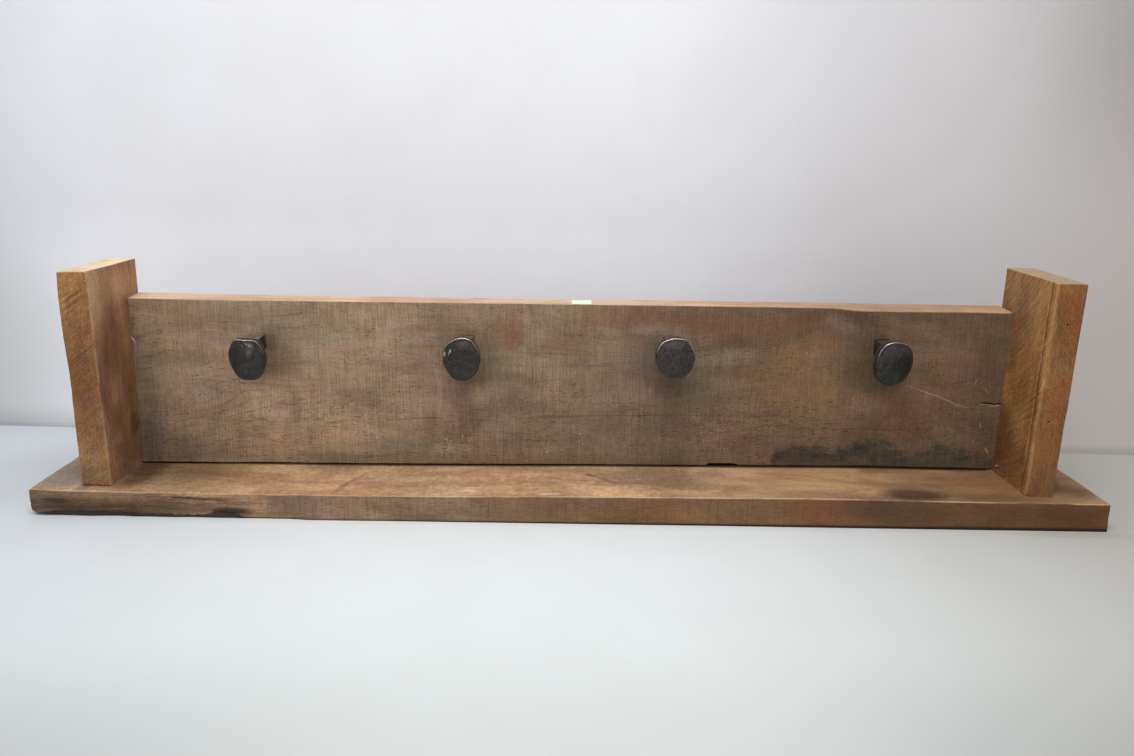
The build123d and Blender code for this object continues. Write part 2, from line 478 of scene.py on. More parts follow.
def make_camera():
    forward = Vector((math.sin(YAW) * math.cos(PITCH), math.cos(YAW) * math.cos(PITCH), -math.sin(PITCH)))
    level = Vector((math.cos(YAW), -math.sin(YAW), 0))
    down = forward.cross(level)
    right = math.cos(ROLL) * level + math.sin(ROLL) * down
    up = math.sin(ROLL) * level - math.cos(ROLL) * down
    data = bpy.data.cameras.new("camera")
    data.sensor_width = SENSOR
    data.lens = FOCAL_PX * SENSOR / PHOTO_WIDTH
    data.clip_start = 0.01
    camera = add_object("camera", data)
    turn = Matrix((right, up, -forward)).transposed()
    camera.matrix_world = Matrix.Translation(Vector(CAMERA_AT) * MM) @ turn.to_4x4()
    bpy.context.scene.camera = camera


# ------------ wood materials
CRACK = -33.0                # y of the long crack in the right block's inner side
SAW_HUB = (0, 174, 373)      # centre of the saw blade that left arcs on that side
WHITE = (255, 255, 255)
HAIR_CRACK = (60, 48, 38)    # fine dark cracks of the back board
BRIGHT_SCRATCH = (176, 156, 134)


# Marks and shades are placed in mm: (x, y) on an upper side, (x, z) on a front, (y, z) on a block's side.
def shelf_wood():
    """Honey-brown worn top, grey-brown sawn front, natural edge at the left."""
    w = Wood("shelf wood", "X")
    warp = w.warped(12.0, 9.0, 4.0)
    tight = w.warped(4.0, 2.2, 3.0)
    top_place = w.flat_place("Z", warp)
    front_place = w.flat_place("Y", warp)

    top = w.clouded((172, 134, 98), (200, 164, 124))
    # The dark marks at (-420, 15), (430, -10) and (510, 10), beside the end blocks, are painted shade.
    top = w.marks(top, top_place, [
        (-505, 0, 46, 58, 0.65, (166, 146, 130)), (-420, 15, 70, 40, 0.45, (116, 90, 68)),
        (-340, 0, 90, 56, 0.15, (136, 108, 82)), (76, -3, 62, 24, 0.6, (124, 102, 82), -8),
        (130, -30, 45, 9, 0.4, (132, 104, 80)), (155, -5, 30, 6, 0.5, (196, 156, 114)),
        (262, -18, 60, 5, 0.45, (214, 176, 128), -9), (345, 22, 34, 9, 0.6, (108, 80, 60)),
        (430, -10, 80, 60, 0.6, (132, 98, 68)), (510, 10, 46, 70, 0.65, (130, 92, 60)),
    ])
    top = w.marks(top, w.flat_place("Z", tight), [
        (-233, -34, 3, 22, 0.4, (118, 90, 66), -18), (-222, -8, 2.5, 16, 0.4, (112, 86, 62), -22),
        (18, 3, 7, 3.5, 0.6, (84, 58, 42), -35), (32, -10, 16, 2.4, 0.5, (104, 74, 54), -45),
        (343, -44, 31, 15, 0.85, (88, 58, 48)), (-106, -43, 9, 2.6, 0.55, (226, 212, 194)),
        (-24, -51, 12, 2.6, 0.5, (222, 204, 182)), (440, 28, 8, 1.6, 0.75, (190, 168, 138)),
        (381, -50, 7, 3, 0.5, (196, 160, 118)),
    ])
    # Patches multiplied darker or lighter; the darker ones hard by the feet of both end blocks are painted
    # shade.
    top = w.shade(top, top_place, [
        (-447, 6, 18, 54, (0.6, 0.58, 0.56)), (-402, 0, 46, 60, 0.84),
        (-516, -10, 24, 40, (0.86, 0.9, 0.95)), (-486, -34, 7, 30, (0.76, 0.8, 0.9)),
        (-310, -10, 60, 60, 1.03), (-260, 22, 34, 13, 0.9), (-260, -8, 34, 16, 1.06),
        (-250, -45, 70, 14, 1.08), (-40, 0, 90, 60, 1.05), (-76, 4, 40, 20, 1.04), (-12, 22, 40, 11, 0.9),
        (46, 2, 30, 16, 1.06), (50, -46, 30, 16, 1.12), (80, -30, 50, 22, 0.93),
        (290, 0, 60, 50, (0.95, 0.92, 0.89)), (268, -57, 66, 15, 0.8, -4), (345, -34, 34, 22, 0.86),
        (430, -52, 80, 14, 0.84), (362, 24, 34, 8, 1.1), (356, 2, 34, 9, 0.93), (352, -54, 50, 8, 0.93),
        (242, 22, 30, 10, 0.95), (145, 10, 16, 12, 0.88), (420, -8, 60, 60, (0.95, 0.93, 0.9)),
        (512, 24, 44, 14, 1.06), (514, -26, 24, 16, (0.81, 0.82, 0.81)), (498, -4, 11, 18, 0.84),
    ])
    flecks = w.noise((5.0, 7.0, 5.0), 3.0, 0.75)
    top = w.detail(top, [(w.blend(w.remap(w.x, 60, 220, 0, 0.7), flecks, 0.5), 0.7, 1.24)])
    top = w.tinted(top, (50, 30, 30), 0.2)
    # Painted shade: a dark line on the shelf's top along the foot of the back board, between the blocks.
    behind = w.times(w.remap(w.x, 452, 446), w.remap(w.x, -476, -468))
    board_foot_shade = w.times(w.remap(w.y, 25.5, 29.5), behind)
    top = w.mix(w.times(board_foot_shade, 0.85), top, (40, 30, 22))

    front = w.clouded((134, 104, 78), (158, 128, 100))
    front = w.mix(w.remap(w.x, -20, 420), front, (206, 188, 170), "MULTIPLY")
    front = w.marks(front, front_place, [
        (-440, 15, 110, 12, 0.5, (130, 98, 66)), (-312, 15, 12, 14, 0.5, (164, 122, 90)),
        (-270, 16, 30, 12, 0.32, (118, 98, 92)), (-60, 14, 60, 12, 0.28, (122, 92, 76)),
        (60, 14, 60, 16, 0.45, (136, 96, 66)), (150, 14, 40, 16, 0.3, (124, 92, 68)),
        (242, 16, 34, 16, 0.6, (136, 82, 54)), (312, 18, 36, 14, 0.66, (88, 70, 58)),
        (400, 16, 60, 18, 0.4, (104, 76, 52)), (500, 14, 40, 18, 0.6, (106, 72, 48)),
    ])
    front = w.shade(front, front_place, [
        (-520, 15, 36, 30, 0.8), (-450, 15, 52, 30, 0.86), (-374, 15, 26, 30, 1.16),
        (-225, 15, 40, 30, (1.09, 1.12, 1.14)), (-150, 15, 50, 30, 0.93), (28, 15, 56, 30, 0.88),
        (270, 15, 190, 40, 0.93), (495, 15, 44, 40, 0.93),
    ])
    front = w.mix(w.remap(w.x, -130, 60), front, (255, 246, 222), "MULTIPLY")
    streaks = w.noise(w.along(46, 2.6), 3.0, 0.7, 0.6)
    wane = w.remap(w.x, -296, -320)
    front = w.mix(w.times(wane, w.remap(streaks, 0.5, 0.66, 0, 0.7)), front, (92, 70, 50))
    front = w.mix(w.times(wane, w.remap(streaks, 0.42, 0.3, 0, 0.7)), front, (170, 136, 98))
    front = w.shade(front, front_place, [
        (-440, 25, 80, 4.5, 1.2), (-450, 9, 110, 9, 0.86), (-383, 14, 30, 12, 0.86),
        (-449, 10, 20, 5, 0.86), (-321, 14, 16, 9, 1.14),
    ])
    # The last mark, at (-338, 8), darkens the notch under the natural edge: painted shade.
    front = w.marks(front, w.flat_place("Y", tight), [
        (-509, 18, 12, 2.6, 0.75, (58, 48, 40), -4), (-475, 12, 40, 1.0, 0.4, (84, 62, 44), 2),
        (-412, 23.6, 20, 0.9, 0.5, (60, 44, 34), -2), (-376, 21.8, 22, 1.3, 0.8, (52, 38, 30), -4),
        (-350, 19.8, 8, 1.0, 0.6, (54, 40, 32), -8), (-396, 17, 26, 0.8, 0.4, (70, 52, 40), -3),
        (-338, 8.0, 20, 4.2, 0.85, (46, 36, 29)),
    ])
    # Painted shadow: the wood under the natural edge's drawn lower rim is painted dark down to the shelf's
    # foot.
    under_rim = w.profile(w.x, [
        (-536, 3.6), (-516, 6), (-500, 7.3), (-474, 7.4), (-449, 6.6), (-423, 5.6), (-398, 4.8),
        (-372, 4.4), (-360, 6), (-347, 8.4), (-335, 6), (-320, 2.2), (-296, 1.4), (-250, 0),
    ])
    crumbly = w.remap(w.noise((7, 7, 4), 3.0, 0.7), 0.3, 0.7, -1.1, 1.1, "LINEAR")
    wane_shadow = w.remap(w.math("SUBTRACT", w.plus(under_rim, crumbly), w.z), -0.5, 0.9)
    front = w.mix(w.times(wane, wane_shadow, 0.9), front, (44, 35, 28))
    bark = w.blend(wane, 0.5, w.noise((4.5, 4.5, 1.8), 4.0, 0.8))
    front = w.detail(front, [(bark, 0.66, 1.3), (w.noise((2.2, 4, 2.2), 3.0, 0.8), 0.84, 1.14)])
    front = w.tinted(front, (36, 30, 20), 0.3)
    colour = w.mix(w.face("Y", -1), front, top)
    colour = w.mix(w.face("Z", 1), colour, top)
    colour = w.mix(w.face("Y", -1), colour, front)

    saw = w.noise((1.9, 60, 40), 2.0, 0.75)
    sawn = w.times(w.face("Y", -1), w.remap(w.x, -330, -300))
    colour = w.mix(w.times(sawn, w.remap(saw, 0.48, 0.68, 0, 0.42)), colour, (84, 63, 48))
    calm = w.times(w.face("Z", 1), w.remap(w.x, 60, 220, 0.15, 0.55))
    colour = w.detail(colour, [(w.blend(calm, w.fibre, 0.5), 0.74, 1.2), (w.speck, 0.8, 1.17)])
    pits = w.times(w.remap(w.noise(w.along(9, 2.2), 2.0, 0.6), 0.62, 0.7), 0.4)
    colour = w.mix(pits, colour, (84, 62, 46))
    wear = w.edge_wear((40, 10, 10), 0.36, 0.56)
    high = w.remap(w.z, 20, 26)
    colour = w.mix(w.times(wear, high, 0.5), colour, (214, 182, 140))
    # Painted shade: the lowest few millimetres of the shelf are painted dark as the shadow where it meets
    # the floor.
    foot_shade = w.plus(w.remap(w.z, 3.4, 1.6, 0, 0.35), w.remap(w.z, 1.6, 0.7, 0, 0.6))
    colour = w.mix(foot_shade, colour, (30, 24, 18))

    relief = w.plus(w.times(w.fibre, 0.6), w.times(w.speck, 0.4))
    normal = w.bump(relief, 0.7, 0.8)
    return w.finish(colour, w.remap(w.fibre, 0.3, 0.7, 0.55, 0.8), normal, Specular_IOR_Level=0.3)


def board_wood():
    """Weathered grey-brown back board with saw lines, red and black stains."""
    w = Wood("back board wood", "X")
    place = w.flat_place("Y", w.warped(14.0, 12.0, 4.0))
    tight = w.flat_place("Y", w.warped(5.0, 2.4, 3.0))
    dry = w.flat_place("Y", w.at)
    front = w.math("ABSOLUTE", w.n["Y"])

    colour = w.clouded((146, 121, 97), (166, 141, 115))
    colour = w.mix(w.remap(w.x, -130, 300), colour, (216, 206, 198), "MULTIPLY")
    for start, end, tone in ((-180, -100, 0.86), (20, 110, 0.91), (350, 420, 1.13)):
        colour = w.mix(w.remap(w.x, start, end), colour, (tone, tone, tone, 1), "MULTIPLY")
    colour = w.marks(colour, place, [
        (-67, 179, 15, 16, 0.5, (140, 90, 66)), (-14, 160, 14, 8, 0.3, (146, 104, 80)),
        (62, 191, 66, 10, 0.5, (136, 92, 68)), (160, 184, 54, 13, 0.55, (122, 80, 58), -4),
        (166, 168, 18, 7, 0.5, (92, 66, 50)), (240, 190, 60, 9, 0.4, (122, 86, 62)),
        (240, 160, 42, 14, 0.45, (156, 116, 80), 20), (240, 118, 56, 32, 0.45, (150, 112, 78)),
        (300, 180, 26, 16, 0.5, (92, 76, 62), -20), (276, 188, 17, 8, 0.4, (148, 130, 112), -20),
        (86, 177, 26, 9, 0.4, (158, 144, 128)), (156, 150, 34, 9, 0.4, (150, 134, 116), 6),
        (358, 88, 24, 26, 0.42, (128, 84, 60)), (400, 130, 40, 30, 0.35, (116, 86, 66)),
        (60, 110, 110, 40, 0.25, (126, 110, 94)), (90, 55, 150, 24, 0.32, (112, 94, 76)),
        (-430, 40, 60, 16, 0.5, (104, 86, 70)), (-130, 34, 260, 7, 0.4, (108, 88, 70)),
        (-446, 120, 22, 90, 0.35, (116, 98, 80)), (-300, 178, 30, 20, 0.35, (136, 124, 108)),
        (442, 130, 26, 80, 0.35, (94, 76, 62)), (-430, 50, 34, 20, 0.4, (104, 84, 77), 12),
        (-448, 64, 16, 30, 0.3, (110, 98, 90)),
    ])
    colour = w.tinted(colour, (42, 42, 26), 0.3)
    outline = w.profile(w.x, [
        (200, 0), (212, 34), (222, 51), (237, 56), (257, 56), (278, 51), (290, 55), (300, 59), (313, 61),
        (333, 60.5), (345, 55), (355, 51), (376, 51), (388, 56), (403, 57), (418, 55), (438, 48), (452, 41),
        (458, 0),
    ])
    ragged = w.noise((9, 9, 6), 4.0, 0.7)
    depth = w.math("SUBTRACT", outline, w.z)
    depth = w.plus(depth, w.remap(ragged, 0.3, 0.7, -7, 7, "LINEAR"))
    patchy = w.noise((22, 22, 9), 4.0, 0.65)
    solid = w.remap(w.x, 310, 345)
    uneven = w.blend(solid, w.remap(patchy, 0.35, 0.65, 0.7, 0.95), w.remap(patchy, 0.35, 0.65, 0.52, 0.78))
    faded = w.times(uneven, w.remap(w.z, 31, 40, 0.72, 1.0))
    black = w.times(w.remap(depth, -6, 8), faded)
    colour = w.mix(black, colour, w.mix(w.remap(w.x, 250, 330), (60, 53, 49), (54, 58, 50)))
    colour = w.marks(colour, place, [
        (310, 38, 13, 4, 0.5, (108, 88, 70), -10), (360, 33, 14, 4, 0.4, (102, 84, 68)),
    ])

    gentle = w.flat_place("Y", w.warped(60.0, 16.0, 1.5))
    rings = w.growth(gentle, 10.0, [
        (-458, 110, 70, 56, 4.5), (-270, 165, 80, 36, 2.0), (-270, 72, 100, 34, -2.0),
        (-72, 92, 44, 26, -1.4), (60, 140, 120, 40, 1.4), (236, 96, 100, 50, -1.6), (400, 140, 70, 60, 1.6),
    ], (150, 40, 40))
    ring_depth = w.remap(w.x, -220, -300, 0.26, 0.36)
    colour = w.mix(w.times(rings, ring_depth), colour, (84, 66, 50))

    saw = w.noise((1.4, 60, 22), 2.0, 0.8)
    kerf_place = w.plus(w.x, w.times(w.noise((120, 80, 60), 2.0), 8.0))
    kerf = w.math("PINGPONG", kerf_place, 1.75)
    here = w.remap(w.noise((50, 50, 40), 2.0), 0.42, 0.62)
    kerf_dark = w.times(w.remap(kerf, 1.2, 1.7), here, 0.28)
    colour = w.mix(w.times(kerf_dark, front), colour, (84, 66, 50))
    coarse = w.noise((7, 200, 160), 2.0, 0.7)
    dense = w.blend(w.remap(w.x, -200, 0, 0.3, 1.0), 0.5, w.noise((2.2, 2.2, 1.1), 3.0, 0.8))
    colour = w.detail(colour, [
        (saw, 0.77, 1.18), (w.fibre, 0.84, 1.12), (w.speck, 0.84, 1.14),
        (coarse, 0.94, 1.05), (dense, 0.72, 1.26),
    ])
    low_down = w.remap(w.z, 140, 80, 0, 0.03)
    rough_here = w.math("SUBTRACT", w.remap(w.noise((60, 50, 30), 2.0), 0.4, 0.6, 0.685, 0.63), low_down)
    pit_noise = w.noise(w.along(6, 1.2), 2.0, 0.7)
    pits = w.times(w.remap(w.math("SUBTRACT", pit_noise, rough_here), 0.0, 0.05), 0.5)
    colour = w.mix(pits, colour, (70, 54, 42))

    colour = w.marks(colour, tight, [
        (-158, 80, 20, 0.7, 0.5, (54, 43, 35), 1), (-180, 78, 10, 0.6, 0.35, HAIR_CRACK),
        (-95, 79, 9, 0.6, 0.35, HAIR_CRACK), (-62, 64, 18, 0.6, 0.4, HAIR_CRACK),
        (-22, 83, 34, 0.6, 0.45, (54, 43, 35), 2), (-111, 61, 14, 0.6, 0.35, HAIR_CRACK),
        (-30, 57, 40, 0.6, 0.3, HAIR_CRACK), (60, 86, 80, 0.6, 0.35, HAIR_CRACK, 1.2),
        (180, 87, 60, 0.6, 0.3, HAIR_CRACK), (-20, 152, 40, 0.6, 0.3, HAIR_CRACK, -2),
        (20, 140, 26, 0.6, 0.3, HAIR_CRACK), (300, 74, 60, 0.6, 0.35, (56, 45, 36)),
        (410, 128, 22, 0.6, 0.35, (56, 45, 36), 12), (425, 128, 6, 0.5, 0.35, BRIGHT_SCRATCH, 60),
        (438, 118, 5, 0.5, 0.35, BRIGHT_SCRATCH, -50), (430, 62, 2.5, 0.7, 0.45, (184, 164, 142), 70),
        (446, 52, 4, 1.0, 0.5, (184, 164, 142), -60), (436, 80, 1.2, 3, 0.4, BRIGHT_SCRATCH, 10),
        (359, 121, 10, 0.4, 0.4, (180, 158, 134), -18), (378, 114.5, 12, 0.45, 0.45, (184, 162, 138), -18),
        (398, 107, 10, 0.5, 0.5, (190, 170, 146), -25), (413, 101.5, 8, 0.4, 0.4, (184, 162, 138), -12),
        (-459, 162, 5, 0.8, 0.8, (214, 188, 160), -55),
    ])
    near_specks = w.marks((0, 0, 0), dry, [
        (-205, 53, 8, 9, 0.95, WHITE), (-124, 52, 26, 9, 0.75, WHITE),
        (-22, 45, 11, 4, 0.95, WHITE), (8, 62, 7, 9, 0.85, WHITE),
        (36, 158, 4, 4, 0.9, WHITE), (150, 68, 50, 22, 0.25, WHITE),
    ])
    dust = w.cells(3.8)
    dot = w.remap(dust["Distance"], 0.3, 0.14)
    some = w.remap(w.parts(dust["Color"])["X"], 0.5, 0.52)
    specks = w.times(dot, some, near_specks)
    colour = w.mix(w.times(specks, 0.8), colour, (214, 206, 186))

    upper = w.face("Z", 1)
    fresh = w.mix(w.remap(w.cloud, 0.4, 0.6), (220, 192, 166), (202, 166, 134))
    fresh = w.mix(w.remap(w.x, 100, 440, 0, 0.6), fresh, (168, 132, 96))
    fresh = w.mix(1.0, fresh, (250, 244, 240), "MULTIPLY")
    colour = w.mix(w.times(upper, 0.95), colour, w.detail(fresh, [(w.fibre, 0.9, 1.06)]))
    wear = w.edge_wear((30, 8, 8), 0.42, 0.62)
    colour = w.mix(w.times(wear, 0.4), colour, (200, 170, 138))
    # Painted shade: the downward-facing lower edge of the back board is painted dark as the shadow at its
    # foot.
    foot_shade = w.remap(w.n["Z"], -0.3, -0.7)
    colour = w.mix(w.times(foot_shade, 0.9), colour, (30, 24, 20))
    colour = w.marks(colour, tight, [(449, 104.2, 12, 0.9, 0.9, (40, 28, 22))], 0.3)
    # Patches multiplied darker or lighter. The dark halos round the four spikes, the dark spot beside the
    # first spike's shank and the dark strip along the board's left end by the block are painted shade. The
    # lighter patches just below the first spike are painted light that cancels its cast shadow.
    colour = w.shade(colour, dry, [
        (-318, 134, 26, 30, 0.78), (-108, 134, 28, 26, 0.82), (88, 136, 28, 26, 0.8),
        (312, 136, 30, 28, 0.8), (-341, 92, 26, 30, 1.12), (-310, 94, 24, 28, 1.12),
        (-308, 122, 24, 16, 1.08), (-311, 46, 30, 15, 1.14), (-342, 68, 44, 12, (0.95, 0.94, 0.92)),
        (-248, 72, 34, 18, 1.12), (-185, 48, 28, 10, (0.84, 0.87, 0.91)), (-57, 80, 34, 26, 0.93),
        (240, 205, 70, 12, 0.94), (310, 200, 34, 12, 0.93), (370, 206, 40, 10, 0.94),
        (252, 184, 30, 14, 0.94), (410, 64, 44, 22, 0.92), (-317, 158, 7, 12, 0.84),
        (-454, 84, 13, 60, 0.84), (-462, 186, 7, 34, 0.88), (-435, 194, 24, 12, 1.07),
        (-245, 194, 26, 12, 1.05), (72, 120, 22, 14, 1.06), (136, 120, 20, 14, (0.93, 0.97, 0.98)),
        (72, 170, 26, 12, (0.97, 0.94, 0.93)), (262, 172, 24, 12, 0.95), (136, 56, 34, 22, 1.06),
        (-154, 66, 9, 26, 0.86), (-294, 86, 8, 14, 0.84), (-332, 110, 14, 16, 1.15),
        (-319, 66, 10, 10, 1.14), (-103, 105, 10, 10, 1.14), (-64, 105, 12, 12, 0.9),
        (316, 105, 20, 12, 1.16), (-459, 180, 8, 14, 0.92), (87, 168, 10, 10, 0.93),
    ], 0.7)

    relief = w.plus(w.times(w.fibre, 0.5), w.times(saw, 0.5))
    normal = w.bump(w.math("SUBTRACT", relief, pits), 0.7, 0.9)
    return w.finish(colour, w.remap(w.fibre, 0.3, 0.7, 0.65, 0.88), normal, Specular_IOR_Level=0.25)


def left_block_wood():
    """Orange-brown end block with diagonal saw cuts on its front."""
    w = Wood("left block wood", "Z")
    warp = w.warped(12.0, 7.0, 4.0)
    tight = w.warped(5.0, 1.6, 3.0)
    inner = w.clouded((146, 104, 72), (172, 130, 94))
    inner = w.detail(inner, [(w.noise((3, 3.5, 11), 4.0, 0.8), 0.6, 1.34)])
    inner = w.marks(inner, w.flat_place("X", warp), [
        (-12, 220, 40, 20, 0.5, (162, 126, 92)), (-12, 172, 24, 34, 0.6, (104, 62, 42), -12),
        (0, 110, 40, 40, 0.32, (118, 80, 54)), (24, 160, 12, 60, 0.3, (150, 106, 68)),
        (18, 56, 30, 22, 0.5, (102, 76, 52)), (20, 74, 9, 12, 0.6, (58, 42, 30)),
        (-20, 69, 9, 5, 0.45, (152, 142, 114)),
    ])
    deep = w.remap(w.z, 30, 240, 8, 26, "LINEAR")
    from_edge = w.math("DIVIDE", w.plus(w.parts(warp)["Y"], 45.0), deep)
    lit_edge = w.times(w.remap(from_edge, 1.2, 0.3), w.remap(w.z, 110, 225, 0.1, 0.7))
    inner = w.mix(lit_edge, inner, (190, 156, 112))
    inner = w.shade(inner, w.flat_place("X", warp), [
        (0, 215, 50, 30, 1.08), (0, 120, 50, 36, 0.92), (-38, 145, 14, 40, (0.85, 0.82, 0.85)),
        (-18, 110, 16, 18, 1.1), (10, 200, 10, 44, 1.08), (24, 222, 20, 10, 1.08), (36, 85, 14, 50, 1.08),
    ])
    inner = w.tinted(inner, (16, 16, 26), 0.2)
    fore = w.clouded((156, 108, 66), (176, 132, 86))
    # The last mark, a thin dark line along the block's foot, is painted shade.
    fore = w.marks(fore, w.flat_place("Y", warp), [
        (-475, 190, 14, 18, 0.35, (174, 130, 90)), (-474, 138, 13, 26, 0.5, (144, 94, 72)),
        (-474, 88, 13, 30, 0.55, (140, 96, 76)), (-474, 42, 14, 20, 0.5, (154, 118, 96)),
        (-474, 28.4, 16, 1.6, 0.7, (84, 52, 40)),
    ])
    fore = w.mix(1.0, fore, (252, 248, 228), "MULTIPLY")
    fore = w.shade(fore, w.flat_place("Y", warp), [
        (-475, 125, 40, 75, 0.9), (-476, 188, 20, 16, (0.94, 0.9, 0.93)),
        (-476, 118, 20, 10, (0.93, 0.94, 1.02)), (-474, 66, 20, 12, 1.05),
        (-473, 38, 22, 14, (0.95, 0.97, 1.0)), (-485, 36, 7, 14, (0.9, 0.92, 0.94)),
    ])
    fore = w.tinted(fore, (14, 14, 16), 0.16)
    facing = w.face("Y", -1)
    colour = w.mix(facing, inner, fore)

    slope = math.radians(36)
    along = w.plus(w.times(w.x, math.cos(slope)), w.times(w.z, math.sin(slope)))
    across = w.math("SUBTRACT", w.times(w.z, math.cos(slope)), w.times(w.x, math.sin(slope)))
    cut_mark = w.noise((13, 60, 1.3), 4.0, 0.8, 0.3, w.join(along, w.y, across))
    saw_mark = w.blend(facing, 0.5, cut_mark)
    colour = w.detail(colour, [(saw_mark, 0.58, 1.3), (w.noise((1.8, 2.0, 2.6), 3.0, 0.8), 0.72, 1.26)])
    cuts = w.marks(colour, w.flat_place("Y", tight), [
        (-477, 219, 13, 1.0, 0.6, (104, 66, 40), 36), (-476, 213, 13, 1.2, 0.6, (104, 66, 40), 36),
        (-476, 207, 11, 0.9, 0.45, (110, 72, 44), 36), (-474, 163, 15, 0.7, 0.65, (84, 54, 36), 36),
        (-475, 159, 14, 0.6, 0.5, (88, 58, 38), 36), (-475, 155, 13, 0.6, 0.55, (86, 56, 38), 36),
        (-476, 151, 13, 0.6, 0.5, (86, 56, 38), 36), (-476, 147, 12, 0.6, 0.5, (90, 58, 40), 36),
        (-475, 142, 12, 0.6, 0.45, (90, 58, 40), 36), (-475, 136, 10, 0.6, 0.4, (90, 58, 40), 36),
        (-472, 112, 12, 0.6, 0.4, (100, 66, 48), 38), (-474, 68, 13, 0.7, 0.4, (100, 68, 50), 38),
        (-474, 42, 13, 0.7, 0.4, (104, 76, 58), 38),
    ])
    return finish_block(w, w.mix(facing, colour, cuts), saw_mark)


def right_block_wood():
    """Honey-brown end block with saw arcs and a long crack on its inner side."""
    w = Wood("right block wood", "Z")
    warp = w.warped(12.0, 7.0, 4.0)
    tight = w.warped(6.0, 1.6, 3.0)
    inner = w.clouded((154, 110, 68), (176, 134, 88))
    side_place = w.flat_place("X", warp)
    fore_place = w.flat_place("Y", warp)
    # The dark mark at (24, 70), low on the inner side by the back board, is painted shade.
    inner = w.marks(inner, side_place, [
        (-20, 190, 22, 50, 0.4, (166, 130, 84)), (26, 180, 20, 30, 0.35, (136, 92, 62)),
        (24, 70, 26, 36, 0.65, (84, 56, 40)), (-4, 52, 36, 24, 0.5, (106, 70, 46)),
        (-39, 190, 4, 60, 0.4, (178, 136, 88)),
    ])
    fore = w.clouded((134, 90, 54), (156, 112, 68))
    fore = w.marks(fore, fore_place, [
        (459, 190, 2.2, 60, 0.55, (172, 132, 86)), (479, 215, 9, 26, 0.3, (160, 92, 56)),
        (478, 134, 9, 22, 0.4, (166, 92, 62)), (480, 60, 7, 70, 0.28, (160, 122, 88)),
        (470, 172, 13, 20, 0.5, (148, 114, 82)), (472, 42, 14, 18, 0.5, (128, 96, 66)),
    ])
    fore = w.shade(fore, fore_place, [(470, 84, 40, 46, (0.93, 0.92, 0.93)), (484, 108, 6, 22, 0.94)])
    fore = w.tinted(fore, (14, 14, 20), 0.18)
    inner = w.shade(inner, side_place, [(20, 205, 24, 30, (0.93, 0.94, 1.06)), (-30, 150, 16, 40, 0.97)])
    inner = w.tinted(inner, (20, 20, 30), 0.2)
    facing = w.face("Y", -1)
    side = w.face("X", -1)
    colour = w.mix(1.0, w.mix(facing, inner, fore), (254, 245, 222), "MULTIPLY")

    from_hub = w.vector("SUBTRACT", w.at, SAW_HUB)
    from_hub = w.vector("LENGTH", w.vector("MULTIPLY", from_hub, (0, 1, 1)))
    bend = w.noise(30.0, 3.0)
    arc_place = w.plus(from_hub, w.times(bend, 14.0))
    arcs = w.math("PINGPONG", arc_place, 3.1)
    fine_arcs = w.noise((2.2, 60, 40), 3.0, 0.7, place=w.join(arc_place, 0, w.z))
    arc_here = w.times(side, w.remap(w.noise(40.0, 2.0), 0.36, 0.6))
    colour = w.mix(w.times(arc_here, w.remap(arcs, 1.2, 3.0, 0, 0.42)), colour, (112, 76, 52))
    saw_mark = w.blend(side, 0.5, fine_arcs)
    slanted = w.join(w.plus(w.x, w.times(w.z, 0.9)), w.y, w.z)
    slash = w.blend(facing, 0.5, w.noise((2.0, 60, 30), 3.0, 0.7, place=slanted))
    upright = w.blend(facing, 0.5, w.noise((1.3, 3, 16), 3.0, 0.8))
    rough = w.noise((1.8, 2.0, 3.2), 3.0, 0.8)
    colour = w.detail(colour, [(saw_mark, 0.62, 1.3), (slash, 0.86, 1.12)])
    colour = w.detail(colour, [(upright, 0.78, 1.2), (rough, 0.76, 1.22)])
    colour = w.marks(colour, w.flat_place("Y", tight), [
        (474, 187, 13, 0.7, 0.5, (104, 66, 44), -2), (471, 174, 11, 0.7, 0.5, (104, 66, 44), 14),
        (468, 141, 9, 0.6, 0.4, (104, 66, 44), 20), (466, 118, 9, 0.8, 0.45, (104, 66, 44), -3),
    ])
    drip = w.marks(colour, w.flat_place("X", tight), [
        (22, 38, 5, 1.0, 0.7, (190, 170, 140), -20), (17, 33, 3, 1.0, 0.6, (190, 170, 140), 30),
    ])
    colour = w.mix(side, colour, drip)
    split = w.spot((CRACK, 150, 0), (0.8, 150, 1), 0.0, 0.25, w.flat_place("X", w.warped(9.0, 0.9, 3.0)))
    split = w.times(split, w.remap(w.x, 466, 462, 0, 0.9))
    return finish_block(w, colour, saw_mark, split)


def finish_block(w, colour, saw_mark, crack=0.0):
    """End grain on top, worn edges, fibres and relief, shared by the two end blocks."""
    colour = w.detail(colour, [(w.fibre, 0.7, 1.24), (w.speck, 0.78, 1.2)])
    pits = w.times(w.remap(w.noise(w.along(10, 1.8), 2.0, 0.6), 0.62, 0.7), 0.4)
    colour = w.mix(pits, colour, (84, 54, 34))
    wear = w.edge_wear((8, 8, 30), 0.4, 0.6)
    colour = w.mix(w.times(wear, 0.22), colour, (196, 160, 118))
    end = w.mix(w.remap(w.cloud, 0.4, 0.6), (236, 216, 180), (218, 190, 148))
    end = w.mix(w.remap(w.x, 0, 100, 0, 0.85), end, (162, 136, 104))
    end = w.detail(end, [(w.speck, 0.9, 1.06)])
    colour = w.mix(w.face("Z", 1), colour, end)
    colour = w.mix(crack, colour, (58, 36, 21))
    relief = w.plus(w.times(w.fibre, 0.45), w.times(saw_mark, 0.6))
    normal = w.bump(relief, 0.8, 0.8)
    return w.finish(colour, w.remap(w.fibre, 0.3, 0.7, 0.55, 0.8), normal, Specular_IOR_Level=0.3)


